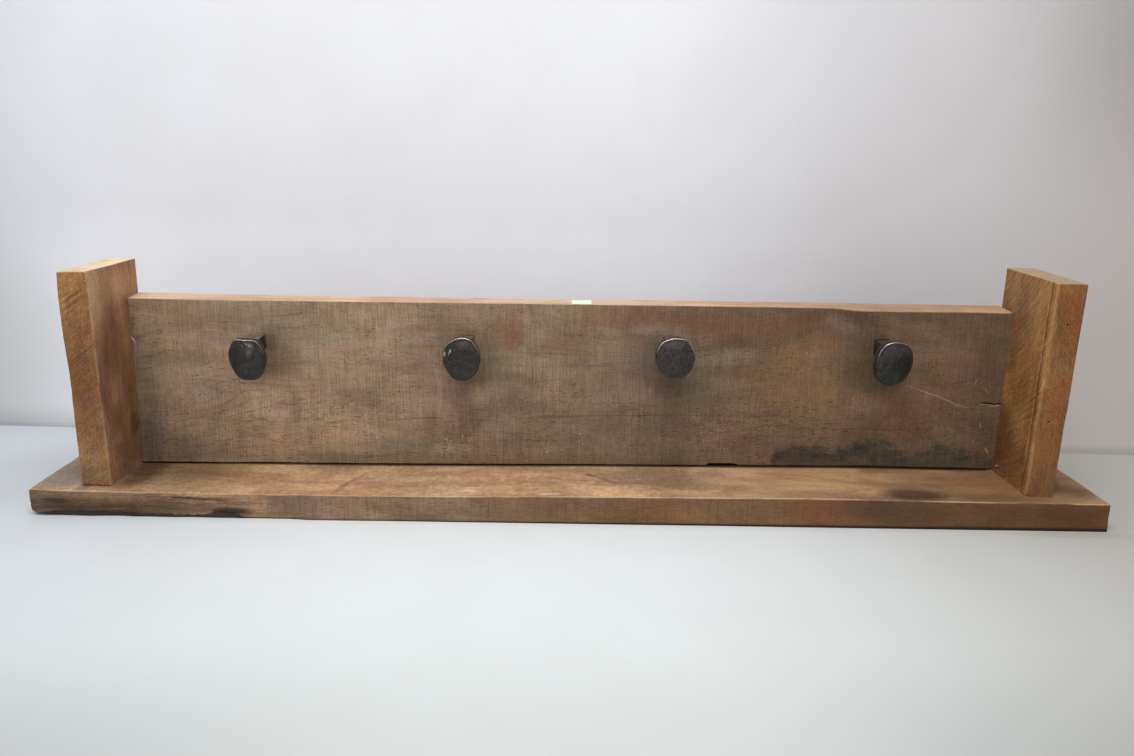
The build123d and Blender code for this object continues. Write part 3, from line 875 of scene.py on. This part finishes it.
# ------------ metal and label materials
def spike_iron():
    """Blackened iron: waxed dark dome, bright worn rim painted brightest where it faces up, dark shank with
    a painted lit upper side.
    """
    s = Shader("spike iron")
    scale = s.noise(9.0, 5.0, 0.6)
    grit = s.noise(1.6, 3.0, 0.7)
    pits = s.cells(5.5)["Distance"]
    # The heads are painted lighter towards the top: a painted sheen from the light above, over the iron's
    # own reddish scale.
    height_up = s.plus(s.z, s.times(scale, 16.0))
    colour = s.mix(s.remap(height_up, 157, 176), (46, 47, 44), (62, 52, 51))
    colour = s.mix(s.remap(scale, 0.42, 0.64, 0, 0.6), colour, (66, 59, 55))
    dull = s.spot((100, -10, 158), (26, 40, 30), 0, 0.3, s.at)
    colour = s.mix(s.times(dull, 0.35), colour, (68, 62, 55))
    # Painted shade: the dark band down the right facet of the fourth head.
    facet_shade = s.spot((329, -16, 158), (9, 30, 12), 0, 0.5, s.at)
    colour = s.mix(s.times(facet_shade, 0.8), colour, (38, 41, 34))
    # Painted highlight: a soft light streak down the ridge of the first head.
    ridge_highlight = s.spot((-324.5, -18, 162), (2.2, 30, 6.5), 0, 0.95, s.at)
    colour = s.mix(s.times(ridge_highlight, 0.42), colour, (128, 116, 112))
    slanted = s.join(s.plus(s.x, s.z), s.y, s.math("SUBTRACT", s.x, s.z))
    hatch = s.noise((9, 40, 1.5), 3.0, 0.75, place=slanted)
    hatch_depth = s.plus(0.35, s.times(dull, 0.65))
    mottle = s.noise(2.8, 3.0, 0.75)
    for field in (s.blend(hatch_depth, 0.5, hatch), mottle):
        colour = s.mix(1.0, colour, s.remap(field, 0.3, 0.7, 0.54, 1.52, "LINEAR"), "MULTIPLY")
    for x, z, radius in ((-124.9, 163.8, 0.8), (-130.4, 160.4, 1.0), (-126.2, 161.6, 0.5)):
        glint = s.spot((x, -17, z), (radius, 12, radius * 2.2), 12, 0.4, s.at)
        colour = s.mix(s.times(glint, s.remap(grit, 0.4, 0.55, 0.3, 1.0)), colour, (196, 192, 188))
    lean = s.math("ABSOLUTE", s.parts(s.normal)["Y"])
    bevel = s.times(s.remap(lean, 0.92, 0.78), s.remap(lean, 0.04, 0.2))
    # The worn rim is bright metal painted brightest where it faces up: partly real wear, partly painted
    # highlight.
    upward = s.parts(s.normal)["Z"]
    bevel = s.times(bevel, s.remap(upward, 0.06, 0.36))
    worn_rim_highlight = s.times(bevel, s.remap(grit, 0.35, 0.6, 0.5, 1.0))
    colour = s.mix(worn_rim_highlight, colour, (190, 184, 181))
    on_shank = s.remap(s.y, -1.5, 2.5)
    # The shank's upward-facing side is painted lighter: painted light from above.
    shank_side = s.mix(s.remap(scale, 0.4, 0.6), (38, 32, 29), (56, 44, 38))
    shank_lit_top = s.mix(s.remap(scale, 0.4, 0.6), (104, 88, 76), (124, 106, 90))
    shank_lit_top = s.mix(s.remap(s.x, 200, 260), shank_lit_top, (66, 52, 46))
    colour = s.mix(on_shank, colour, s.mix(s.remap(upward, 0.4, 0.8), shank_side, shank_lit_top))
    rough = s.plus(s.remap(scale, 0.3, 0.7, 0.28, 0.42), s.times(dull, 0.1))
    rough = s.blend(on_shank, rough, 0.6)
    height = s.plus(s.times(scale, 0.6), s.times(grit, 0.2))
    height = s.plus(height, s.remap(pits, 0.1, 0.45, 0, 0.5))
    metal = s.plus(0.6, s.times(worn_rim_highlight, 0.4))
    metal = s.times(metal, s.remap(s.y, 2.5, -1.5))
    height = s.plus(height, s.times(mottle, 0.5))
    return s.finish(colour, rough, s.bump(height, 0.6, 0.8), Metallic=metal)


def zinc_steel(name, bright):
    """Zinc-plated steel with fine scratches."""
    s = Shader(name)
    cloud = s.noise(3.0, 4.0, 0.6)
    scratch = s.noise((0.25, 0.25, 3.0), 3.0, 0.7)
    dark, light = (tuple(int(c * bright) for c in tone) for tone in ((150, 148, 140), (196, 194, 186)))
    colour = s.mix(s.remap(cloud, 0.35, 0.65), dark, light)
    rough = s.remap(scratch, 0.3, 0.7, 0.3, 0.48)
    return s.finish(colour, rough, s.bump(scratch, 0.03, 0.6), Metallic=0.9)


def label_paper():
    """Blank mint-green paper label."""
    s = Shader("label paper")
    cloud = s.noise(4.0, 4.0, 0.6)
    colour = s.mix(s.remap(cloud, 0.3, 0.7), (214, 240, 208), (226, 248, 218))
    fibre = s.noise((0.6, 0.2, 0.6), 3.0, 0.7)
    return s.finish(colour, s.remap(fibre, 0.2, 0.8, 0.55, 0.7), s.bump(fibre, 0.02, 0.4))


# ------------ wooden pieces
WARP_REACH = 60              # how far into a board its edge's warp goes
WORN_CORNER = 9              # radius of the back board's worn upper right corner
BOARD_CRACK = 104.0          # height of the crack at the back board's right end
NAIL_RADIUS = 1.15
NAIL_HOLES = ((473.0, 205.0), (469.3, 107.0))   # (x, z) on the right block's front
SCREW_HEAD = 4.25            # countersink radius at the surface
SCREW_SHANK = 2.15
SCREW_REACH = 9.0            # wider than a screw, narrower than the gap between two
SHANK = 16.0                 # square shank of a spike
HEAD_DROP = (9.5, 7.5, 5.5, 7.5)   # head centre below the shank centre
BOARD_FRONT = 30.5           # y of the back board's front side


def countersink(name, origin, direction):
    cone = SCREW_HEAD - SCREW_SHANK
    profile = [(SCREW_HEAD + 0.6, -4.0), (SCREW_HEAD, 0.0), (SCREW_SHANK, cone), (SCREW_SHANK, 12.0)]
    return lathe_cutter(name, origin, direction, profile)


def screw_places(node, axis):
    """The places of a group's screws across the axis they run along, from the CAD mesh."""
    points = np.array([v.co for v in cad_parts[node].data.vertices]) / MM
    points = np.delete(points, "XYZ".index(axis), axis=1)
    places = []
    while len(points):
        near = np.hypot(*(points - points[0]).T) < SCREW_REACH
        places.append(points[near].mean(axis=0))
        points = points[~near]
    return places


# Height of the natural edge's lower rim along the shelf's front, as (x, height)
WANE = (
    (-533.5, 4.0), (-516, 3.2), (-500, 2.5), (-474, 1.7), (-449, 1.2), (-418, 1.6), (-361, 1.7),
    (-344, 2.2), (-330, 1.2), (-318, 0.1), (-250, 0.0),
)
# How far the boards have warped from flat, as (x, rise in mm)
SHELF_TOP_FRONT = (
    (-533, 0.4), (-436, -0.8), (-319, -1.5), (-201, -1.5), (-83, -1.0), (0, 0.0), (154, 1.1), (233, 1.4),
    (353, 0.3), (473, -0.8), (533, -1.3),
)
SHELF_TOP_BACK = (
    (-533, -2.2), (-368, -2.1), (-197, -1.7), (-25, -0.2), (148, 1.3), (322, 2.4), (457, 1.3), (533, 0.6),
)
SHELF_BOTTOM = (
    (-533, 0.0), (-340, -0.1), (-312, -0.8), (-282, -1.0), (-235, -0.6), (-195, 0.0), (-170, 0.0),
    (0, -0.4), (146, -0.9), (306, -1.5), (533, -2.3),
)
# How far the shelf's two sawn ends stand out from square, as (y, mm)
SHELF_LEFT_END = ((-59, 1.2), (-48, 2.2), (-38, 2.9), (-20, 3.6), (10, 4.2), (59, 4.2))
SHELF_RIGHT_END = ((-59, 1.9), (-45, 1.3), (-20, 1.0), (0, 0.4), (20, -0.5), (35, -1.4), (59, -1.6))
BOARD_TOP_FRONT = (
    (-460, -1.2), (-355, -1.8), (-273, -1.5), (-109, -0.9), (56, -0.5), (221, -0.2), (300, 0.0), (457, 0.0),
)
BOARD_TOP_BACK = ((-460, 0.0), (-365, -0.6), (-27, -0.4), (58, 0.0), (228, 0.2), (314, 0.7), (457, 0.7))
# How far each end block's outer side stands out near the front, as (height, mm)
BLOCK_BOW = {
    "left": (
        (28, 0.0), (99, 0.0), (114, -0.1), (129, -0.4), (144, -0.35), (154, 0.25), (159, 0.6), (169, 0.9),
        (179, 1.4), (189, 1.6), (204, 1.7), (214, 1.8), (223, 1.65), (237, 0.85),
    ),
    "right": (
        (28, 0.0), (71, 0.0), (86, 0.3), (102, 0.0), (117, 0.8), (132, 1.05), (163, 1.1), (178, 1.25),
        (193, 1.3), (209, 1.8), (219, 1.9), (234, 2.2), (242, 2.1),
    ),
}
BLOCK_FOOT = {"left": 3.2, "right": 1.8}   # how far a block's foot reaches down to the warped shelf
BLOCK_LEAN = {"left": 1.0, "right": 0.9}   # how far the inner front edge leans outward at the top
# How far each block's top stands above flat: at the front inside, front outside and back
BLOCK_TOP = {"left": (1.8, 0.3, 0.1), "right": (-0.1, -0.8, 0.5)}


def make_shelf():
    low, high = box_mm("shelf_board")
    points, faces = box_skin(low, high, (2.4, 2.4, 2.0))
    lower = smooth(14, 6, points[:, 2])
    radius = between(1.6 + 0.8 * fbm(points, 60, 3), 0.9, lower)
    p = round_edges(points, low, high, np.clip(radius, 0.6, 4))
    x, y, z = p.T
    ripple = fbm(p, (24, 12, 6), 11, 4)
    edge_height = read_off(x, WANE) * (1 + 0.18 * ripple)
    corner = ramp(low[0] + 8, low[0], x)
    edge_height += 6 * (1 - np.sqrt(1 - corner ** 2))
    z += edge_height * smooth(low[1] + 22, low[1] + 1, y) * smooth(16, 0, z)
    wane = smooth(WANE[-1][0] - 8, WANE[-1][0] - 40, x)
    near_front = smooth(low[1] + 9, low[1], y)
    y += wane * near_front * smooth(18, 2, z) * (1.6 + 1.2 * ripple)
    y += wane * near_front * np.maximum(0, fbm(p, (60, 20, 3.0), 29, 3)) * 2.0
    y += near_front * (0.4 + 0.4 * fbm(p, (90, 9, 9), 43))
    z += smooth(high[2] - 4, high[2], z) * (0.3 * fbm(p, (80, 30, 30), 41) - 0.15)
    np.maximum(z, 0, out=z)
    rise = between(read_off(x, SHELF_TOP_FRONT), read_off(x, SHELF_TOP_BACK), ramp(low[1], BOARD_FRONT, y))
    z += rise * ramp(0, high[2], z) ** 2
    z += read_off(x, SHELF_BOTTOM) * smooth(18, 0, z)
    x -= read_off(y, SHELF_LEFT_END) * smooth(low[0] + WARP_REACH, low[0], x)
    x += read_off(y, SHELF_RIGHT_END) * smooth(high[0] - WARP_REACH, high[0], x)
    obj = make_object("shelf_board_sawn", p, faces.tolist())
    cutters = []
    for node in ("left_shelf_screws", "right_shelf_screws", "back_board_screws"):
        for k, (sx, sy) in enumerate(screw_places(node, "Z")):
            cutters.append(countersink(f"cut_{node}_{k}", (sx, sy, 0), (0, 0, -1)))
    cut(obj, cutters)
    settle(obj, "shelf_wood", shelf_wood(), "shelf_board")


def board_top_rise(x, y, front, back):
    """How far the warped upper edge of the back board stands above flat."""
    return between(read_off(x, BOARD_TOP_FRONT), read_off(x, BOARD_TOP_BACK), ramp(front, back, y))


def make_back_board():
    low, high = box_mm("back_board")
    points, faces = box_skin(low, high, (2.4, 3.0, 2.2), ((), (), [(BOARD_CRACK, 0.6)]))
    x, y, z = points.T
    worn_end = smooth(255, 300, x) * smooth(high[2] - 12, high[2], z)
    radius = 1.1 + 0.5 * fbm(points, 50, 5) + 2.8 * worn_end
    p = round_edges(points, low, high, np.clip(radius, 0.5, 5))
    x, y, z = p.T
    front = smooth(low[1] + 4, low[1], y)
    top = smooth(high[2] - 5, high[2], z)
    bottom = smooth(low[2] + 5, low[2], z)
    z -= top * worn_end * smooth(high[1] - 8, low[1], y) * (1.6 + 1.2 * fbm(p, (40, 20, 20), 7))
    past_x = np.maximum(0, x - (high[0] - WORN_CORNER))
    past_z = np.maximum(0, z - (high[2] - WORN_CORNER))
    corner = np.hypot(past_x, past_z)
    pull = np.maximum(0, corner - WORN_CORNER) / np.maximum(corner, 1e-6)
    x -= pull * past_x
    z -= pull * past_z
    z += bottom * smooth(low[1] + 9, low[1] + 3, y) * (1.1 + 0.5 * fbm(p, (60, 20, 20), 13))
    notch = smooth(143, 147, x) * smooth(180, 174, x)
    z += bottom * notch * smooth(low[1] + 12, low[1] + 5, y) * (2.2 + 0.8 * fbm(p, (8, 20, 20), 15))
    y += front * (0.25 + 0.5 * fbm(p, (160, 9, 60), 17, 4))
    gap = front * smooth(0.6, 0.2, np.abs(z - BOARD_CRACK - 0.5 * np.sin(x / 3.0))) * smooth(430, 440, x)
    y += gap * 4.0
    z += read_off(x, SHELF_TOP_BACK) * smooth(low[2] + WARP_REACH, low[2], z)
    y -= 2.5 * front * smooth(-300, -430, x) * smooth(90, 30, z)
    z += board_top_rise(x, y, low[1], high[1]) * smooth(high[2] - WARP_REACH, high[2], z)
    obj = make_object("back_board_sawn", p, faces.tolist())
    cutters = []
    for number in range(4):
        box_low, box_high = box_mm(f"spike_{number + 1}")
        centre_x = (box_low[0] + box_high[0]) / 2
        centre_z = (box_low[2] + box_high[2]) / 2 + HEAD_DROP[number]
        outline = rounded_rectangle(SHANK + 0.2, SHANK + 0.2, 1.2)
        cutters.append(prism_cutter(
            f"cut_mortise_{number}", outline, low[1] - 5, high[1] + 5,
            lambda a, b, depth, cx=centre_x, cz=centre_z: (cx + a, depth, cz + b),
        ))
    cut(obj, cutters)
    settle(obj, "board_wood", board_wood(), "back_board")


def plate_cutters(side, x, back):
    """Recess and keyhole pocket for a hanger plate in the back of an end block."""
    low, high = box_mm(f"{side}_hanger_plate")
    centre = (low[2] + high[2]) / 2
    place = lambda a, b, depth: (x + a, back - depth, centre + b)
    recess = rounded_rectangle(high[0] - low[0] + 0.5, high[2] - low[2] + 0.5, 3.2)
    pocket = [(a, b - 4.5) for a, b in rounded_rectangle(11, 20, 5.4)]
    depth = high[1] - low[1]
    return [
        prism_cutter(f"cut_recess_{side}", recess, -2.0, depth, place),
        prism_cutter(f"cut_pocket_{side}", pocket, -2.5, depth + 9.0, place),
    ]


def make_block(side, wood, seed):
    node = f"{side}_end_block"
    low, high = box_mm(node)
    middle = (low[0] + high[0]) / 2
    is_left = side == "left"
    outer, inner, outward = (low[0], high[0], -1) if is_left else (high[0], low[0], 1)
    crack_line = () if is_left else [(CRACK, 0.6)]
    points, faces = box_skin(low, high, (2.0, 2.2, 2.2), ((), crack_line, ()))
    x, y, z = points.T
    front_inner = smooth(low[1] + 8, low[1], y) * smooth(10, 0, np.abs(x - inner))
    radius = 1.1 + 0.5 * fbm(points, (30, 30, 40), seed)
    radius = radius + front_inner * (2.0 + 1.8 * fbm(points, (60, 60, 55), seed + 1))
    p = round_edges(points, low, high, np.clip(radius, 0.5, 4.5))
    x, y, z = p.T
    wave = 0.25 * fbm(p, (12, 12, 9), seed + 5)
    outer_side = smooth(8, 0, np.abs(x - outer)) * smooth(low[1] + 30, low[1], y)
    x += outward * outer_side * (read_off(z, BLOCK_BOW[side]) - wave)
    lean = smooth(9, 0, np.abs(x - inner)) * smooth(low[1] + 18, low[1], y)
    x += outward * lean * (BLOCK_LEAN[side] * (z - low[2]) / (high[2] - low[2]) + wave)
    front = smooth(low[1] + 4, low[1], y)
    y += front * (0.3 + 0.3 * fbm(p, (9, 9, 6), seed + 7, 4))
    z -= smooth(high[2] - 4, high[2], z) * (0.3 + 0.4 * fbm(p, (12, 40, 9), seed + 9))
    if not is_left:
        inner_side = smooth(4, 0, np.abs(x - inner))
        groove = inner_side * smooth(0.75, 0.2, np.abs(y - CRACK)) * smooth(50, 70, z)
        x += groove * 4.5
        y += (np.abs(y - CRACK) < 6) * inner_side * 0.5 * fbm(p, (200, 200, 34), 71)
        x -= 1.5 * smooth(9, 0, np.abs(x - inner)) * smooth(-30, 30, y)
    z -= BLOCK_FOOT[side] * smooth(low[2] + 6, low[2], z)
    inside, outside, back = BLOCK_TOP[side]
    rise = between(inside, outside, ramp(0, high[0] - low[0], np.abs(x - inner)))
    rise = between(rise, back, ramp(low[1], high[1], y))
    z += rise * smooth(high[2] - WARP_REACH, high[2], z)
    obj = make_object(f"{node}_sawn", p, faces.tolist())
    cutters = []
    for k, (sy, sz) in enumerate(screw_places(f"{side}_end_screws", "X")):
        cutters.append(countersink(f"cut_{side}_{k}", (outer, sy, sz), (outward, 0, 0)))
    cutters += plate_cutters(side, middle, high[1])
    if not is_left:
        hole = [(NAIL_RADIUS, -1.0), (NAIL_RADIUS, 9.0)]
        for k, (nx, nz) in enumerate(NAIL_HOLES):
            cutters.append(lathe_cutter(f"cut_nail_{k}", (nx, low[1], nz), (0, -1, 0), hole, 12))
    cut(obj, cutters)
    settle(obj, "block_wood", wood, node)


# ------------ spikes
# Outline of each head seen from the front, as a closed run of points; 1 is half its width or height.
HEADS = (
    [
        (-0.53, 1.03), (0.05, 1.03), (0.6, 0.99), (0.92, 0.74), (1.09, 0.32), (1.1, -0.1), (0.99, -0.5),
        (0.72, -0.92), (0.18, -1.01), (-0.36, -0.92), (-0.71, -0.5), (-0.89, -0.08), (-0.94, 0.28),
        (-0.82, 0.7),
    ],
    [
        (0.05, 1.04), (0.5, 0.92), (0.85, 0.53), (0.97, 0.1), (0.92, -0.34), (0.72, -0.68), (0.4, -0.9),
        (0.0, -1.0), (-0.4, -0.94), (-0.74, -0.65), (-0.97, -0.29), (-1.03, 0.1), (-0.89, 0.63),
        (-0.46, 0.94),
    ],
    [
        (0.02, 1.05), (0.51, 0.97), (0.8, 0.63), (0.99, 0.21), (0.97, -0.2), (0.8, -0.62), (0.51, -0.91),
        (0.07, -1.02), (-0.42, -0.94), (-0.77, -0.67), (-0.99, -0.31), (-1.05, 0.0), (-1.0, 0.42),
        (-0.77, 0.79), (-0.36, 1.0),
    ],
    [
        (-0.24, 1.0), (0.15, 1.0), (0.58, 0.89), (0.88, 0.62), (0.99, 0.23), (0.96, -0.16), (0.81, -0.52),
        (0.5, -0.86), (-0.04, -1.03), (-0.56, -0.98), (-0.93, -0.72), (-1.05, -0.36), (-1.05, 0.03),
        (-0.95, 0.46), (-0.66, 0.84),
    ],
)
# Facets that fall away from each dome: (direction in degrees, place from the centre, depth in mm)
FACETS = (
    [(25, 0.2, 1.4), (155, 0.2, 1.4), (270, 0.5, 1.0)],
    [(60, 0.35, 1.0), (170, 0.4, 0.9)],
    [(45, 0.3, 0.8), (250, 0.4, 0.6)],
    [(0, 0.25, 2.0), (110, 0.3, 1.0)],
)
HEAD_EDGE = 10.0
HEAD_CROWN = 4.5


def closed_curve(points, count):
    """Evenly spaced angles and the radius of a smooth closed curve through the points."""
    pts = np.array(points)
    n = len(pts)
    dense = []
    for k in range(n):
        p0, p1, p2, p3 = (pts[(k + j) % n] for j in (-1, 0, 1, 2))
        for t in np.linspace(0, 1, 24, endpoint=False):
            dense.append(0.5 * (
                2 * p1 + (p2 - p0) * t + (2 * p0 - 5 * p1 + 4 * p2 - p3) * t ** 2
                + (3 * p1 - p0 - 3 * p2 + p3) * t ** 3
            ))
    dense = np.array(dense)
    angle = np.arctan2(dense[:, 1], dense[:, 0])
    radius = np.linalg.norm(dense, axis=1)
    order = np.argsort(angle)
    wanted = np.linspace(-math.pi, math.pi, count, endpoint=False)
    return wanted, np.interp(wanted, angle[order], radius[order], period=2 * math.pi)


def make_spike(number, iron):
    low, high = box_mm(f"spike_{number + 1}")
    count = 120
    angle, radius = closed_curve(HEADS[number], count)
    half_width = (high[0] - low[0]) / 2
    half_height = (high[2] - low[2]) / 2
    centre_x = (low[0] + high[0]) / 2
    centre_z = (low[2] + high[2]) / 2
    shank_z = centre_z + HEAD_DROP[number]
    head_u = radius * np.cos(angle) * half_width
    head_v = radius * np.sin(angle) * half_height
    square = SHANK / 2 / np.maximum(np.abs(np.cos(angle)), np.abs(np.sin(angle)))
    square = np.minimum(square, SHANK / 2 * 1.32)
    shank_u = square * np.cos(angle)
    shank_v = square * np.sin(angle)
    front = low[1]
    rim = front + HEAD_CROWN
    under = rim + HEAD_EDGE

    rings = []
    for scale in np.linspace(0.06, 0.92, 22):
        rings.append((0.0, scale, front + HEAD_CROWN * scale ** 2.2))
    for turn in np.radians((15, 30, 45, 60, 75, 90)):
        rings.append((0.0, 0.92 + 0.1 * math.sin(turn), rim - 0.8 + 1.8 * (1 - math.cos(turn))))
    for t in np.linspace(0.15, 1, 6):
        rings.append((0.0, 1.02, rim + 1.0 + (HEAD_EDGE - 1.8) * t))
    for t in (0.02, 0.06, 0.14, 0.26, 0.4, 0.55, 0.7, 0.82, 0.92, 1.0):
        rings.append((t, 1.02, under - 0.8 + 2.5 * math.sin(t * math.pi / 2) ** 0.8))
    shank_front = under + 1.7
    for t in np.linspace(0.02, 1, 40):
        rings.append((1.0, 1.0, shank_front + (high[1] - 0.3 - shank_front) * t))

    points = [(centre_x, front, centre_z)]
    for blend, scale, depth in rings:
        across = centre_x + between(head_u * scale, shank_u, blend)
        up = between(centre_z, shank_z, blend) + between(head_v * scale, shank_v, blend)
        points += [(a, depth, b) for a, b in zip(across, up)]
    last = len(points)
    points.append((centre_x, high[1] - 0.3, shank_z))
    p = np.array(points)
    x, y, z = p.T

    u = (x - centre_x) / half_width
    v = (z - centre_z) / half_height
    on_dome = smooth(rim + 1.5, rim - 1.5, y)
    fall = np.zeros(len(p))
    for direction, place, depth in FACETS[number]:
        turn = math.radians(direction)
        fall = np.maximum(fall, depth * (u * math.cos(turn) + v * math.sin(turn) - place))
    y += on_dome * fall
    dents = 0.55 * fbm(p, 11, 101 + number, 3) + 0.18 * fbm(p, 2.6, 131 + number, 3)
    y += on_dome * (0.3 + 0.8 * dents)
    edge = smooth(rim - 2, rim + 2, y) * smooth(under + 8, under, y)
    x += edge * u * 0.5 * dents
    z += edge * v * 0.5 * dents
    on_shank = smooth(under + 1, under + 5, y)
    x += on_shank * 0.3 * fbm(p, (14, 20, 14), 151 + number, 3)
    z += on_shank * 0.3 * fbm(p, (14, 20, 14), 161 + number, 3)

    faces = [(0, 1 + (k + 1) % count, 1 + k) for k in range(count)]
    for r in range(len(rings) - 1):
        start = 1 + r * count
        for k in range(count):
            n = (k + 1) % count
            faces.append((start + k, start + n, start + n + count, start + k + count))
    start = 1 + (len(rings) - 1) * count
    faces += [(start + k, start + (k + 1) % count, last) for k in range(count)]
    obj = make_object(f"spike_{number + 1}_forged", p, faces)
    fix_normals(obj)
    settle(obj, "spike_iron", iron, f"spike_{number + 1}")


# ------------ hardware and label
def dress_hardware():
    screw = zinc_steel("screw steel", 0.85)
    plate = zinc_steel("plate steel", 1.0)
    for name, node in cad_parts.items():
        if name.endswith("_screws"):
            node.data.materials.clear()
            node.data.materials.append(screw)
        elif name.endswith("_plate"):
            node.data.materials.clear()
            node.data.materials.append(plate)


def make_label():
    """A small blank label stuck on the upper edge of the back board."""
    low, high = box_mm("back_board")
    left, right = -4.5, 16.5
    near, far = low[1] + 0.6, low[1] + 22.5
    top = high[2]
    across, deep = 14, 14
    points = []
    for layer in (0.05, 0.3):
        for j in range(deep + 1):
            for i in range(across + 1):
                s, t = i / across, j / deep
                curl = 0.5 * (s * t) ** 4 + 0.1 * math.sin(7 * s + 3 * t) * s
                place_x, place_y = left + (right - left) * s, near + (far - near) * t
                rise = float(board_top_rise(place_x, place_y, low[1], high[1]))
                points.append((place_x, place_y, top + rise + layer + curl))
    row = across + 1
    layer_size = row * (deep + 1)
    faces = []
    for j in range(deep):
        for i in range(across):
            a = j * row + i
            faces.append((a, a + row, a + row + 1, a + 1))
            b = a + layer_size
            faces.append((b, b + 1, b + row + 1, b + row))
    rim = [i for i in range(row)] + [j * row + across for j in range(1, deep + 1)]
    rim += [deep * row + i for i in range(across - 1, -1, -1)] + [j * row for j in range(deep - 1, 0, -1)]
    for k, a in enumerate(rim):
        b = rim[(k + 1) % len(rim)]
        faces.append((a, b, b + layer_size, a + layer_size))
    obj = make_object("blank_label", points, faces)
    fix_normals(obj)
    settle(obj, None, label_paper())


# ------------ stage
def stage_plane(name, corners, material):
    plane = make_object(name, corners, [(0, 1, 2, 3)], smooth_shading=False)
    plane.data.materials.append(material)
    return plane


FLOOR_REACH = 6000
FLOOR_DROP = 0.5             # the floor lies this far below the rack's zero height at its middle
FLOOR_TILT = 0.0034          # and falls this much per mm toward +X, as the warped shelf does
WALL_LEFT = (-724, 225.5, -20)    # two places on the wall's foot, on either side of the rack
WALL_RIGHT = (691, 182.5, -20)
WALL_REACH = 2500            # how far the wall goes on past them
WALL_HEIGHT = 2400


def make_stage():
    s = Shader("table")
    # The table's colour carries painted light: brightest a little left of the middle, darker to both sides
    # and towards the front corners.
    colour = s.mix(s.remap(s.x, -650, -150), (212, 217, 222), (230, 235, 234))
    colour = s.mix(s.remap(s.x, 30, 620), colour, (188, 186, 179))
    colour = s.mix(s.remap(s.y, -90, -480), colour, (236, 236, 234), "MULTIPLY")
    beside = s.remap(s.math("ABSOLUTE", s.x), 60, 330, 0.35, 1.0)
    near = s.times(s.remap(s.y, -270, -450), beside)
    colour = s.mix(near, colour, (230, 230, 230), "MULTIPLY")
    # Painted shade: a darker patch beside and behind the rack's left end.
    left_floor_shade = s.spot((-612, 40, 0), (80, 80, 60), 0, 0.6, s.at)
    colour = s.mix(left_floor_shade, colour, (243, 243, 241), "MULTIPLY")
    # Painted reflection: a warm tint of the wood on the table in front of the shelf's right end.
    wood_reflection = s.spot((500, -66, 0), (56, 7, 60), 0, 0.6, s.at)
    colour = s.mix(wood_reflection, colour, (252, 240, 232), "MULTIPLY")
    colour = s.mix(s.remap(s.noise(90.0, 3.0), 0.35, 0.65, 0, 0.06), colour, (190, 190, 186))
    table = s.finish(colour, 0.7, Specular_IOR_Level=0.2)
    corners = [(x * FLOOR_REACH, y * FLOOR_REACH) for x, y in ((-1, -1), (1, -1), (1, 1), (-1, 1))]
    floor = stage_plane("floor", [(x, y, -FLOOR_DROP - FLOOR_TILT * x) for x, y in corners], table)

    # The wall stands a little askew behind the rack and shows only from its front.
    s = Shader("wall paint")
    # The wall's colour carries painted light and shade: lighter in the middle, darker towards both ends.
    shade = s.mix(s.remap(s.z, 290, 235), (243, 243, 246), (251, 251, 254))
    shade = s.mix(s.remap(s.x, 50, 440), shade, (219, 216, 217))
    right_edge = s.mix(s.remap(s.z, 260, 520), (206, 199, 194), (168, 161, 155))
    shade = s.mix(s.remap(s.x, 400, 720), shade, right_edge)
    left_edge = s.mix(s.remap(s.z, 420, 60), (230, 230, 233), (207, 206, 206))
    shade = s.mix(s.remap(s.x, -560, -760), shade, left_edge)
    shade = s.mix(s.remap(s.noise(90.0, 3.0), 0.35, 0.65, 0, 0.06), shade, (197, 189, 183))
    # Painted shade: darker along the wall's foot at the left, and a thin dark line at its seam with the
    # table.
    low_left_shade = s.times(s.remap(s.z, 34, 4), s.remap(s.x, 200, -200))
    shade = s.mix(low_left_shade, shade, (230, 230, 230), "MULTIPLY")
    seam_shadow = s.remap(s.z, 10, 1, 0, 0.75)
    shade = s.mix(seam_shadow, shade, (226, 226, 226), "MULTIPLY")
    paint = s.node("BsdfDiffuse", {"Color": shade})[0]
    behind = s.node("NewGeometry", {})["Backfacing"]
    seen = s.node("MixShader", {0: behind, 1: paint, 2: s.node("BsdfTransparent", {})[0]})[0]
    s.put(s.output.inputs["Surface"], seen)
    left, right = Vector(WALL_LEFT), Vector(WALL_RIGHT)
    run = (right - left).normalized() * WALL_REACH
    rise = Vector((0, 0, WALL_HEIGHT))
    wall = stage_plane("wall", [left - run, right + run, right + run + rise, left - run + rise], s.material)


# Name, place and size in metres, power
LAMPS = (
    ("overhead", (-0.08, -0.72, 1.65), (1.0, 0.6), 15.5),
    ("front", (-0.15, -1.45, 1.35), (1.1, 0.35), 5.0),
)
LAMP_TARGET = (0, 0.05, 0.1)
WORLD_STRENGTH = 0.62


def area_lamp(name, place, size, power):
    data = bpy.data.lights.new(name, "AREA")
    data.shape = "RECTANGLE"
    data.size, data.size_y = size
    data.energy = power
    lamp = add_object(name, data)
    lamp.location = place
    lamp.rotation_euler = (Vector(LAMP_TARGET) - Vector(place)).to_track_quat("-Z", "Y").to_euler()


def make_light():
    world = bpy.data.worlds.new("studio")
    world.use_nodes = True
    background = world.node_tree.nodes["Background"]
    background.inputs["Color"].default_value = srgb(232, 234, 240)
    background.inputs["Strength"].default_value = WORLD_STRENGTH
    bpy.context.scene.world = world
    for name, place, size, power in LAMPS:
        area_lamp(name, place, size, power)


bpy.context.scene.view_settings.view_transform = "Standard"
make_camera()
make_shelf()
make_back_board()
make_block("left", left_block_wood(), 201)
make_block("right", right_block_wood(), 301)
iron_material = spike_iron()
for spike_number in range(4):
    make_spike(spike_number, iron_material)
dress_hardware()
make_label()
make_stage()
make_light()
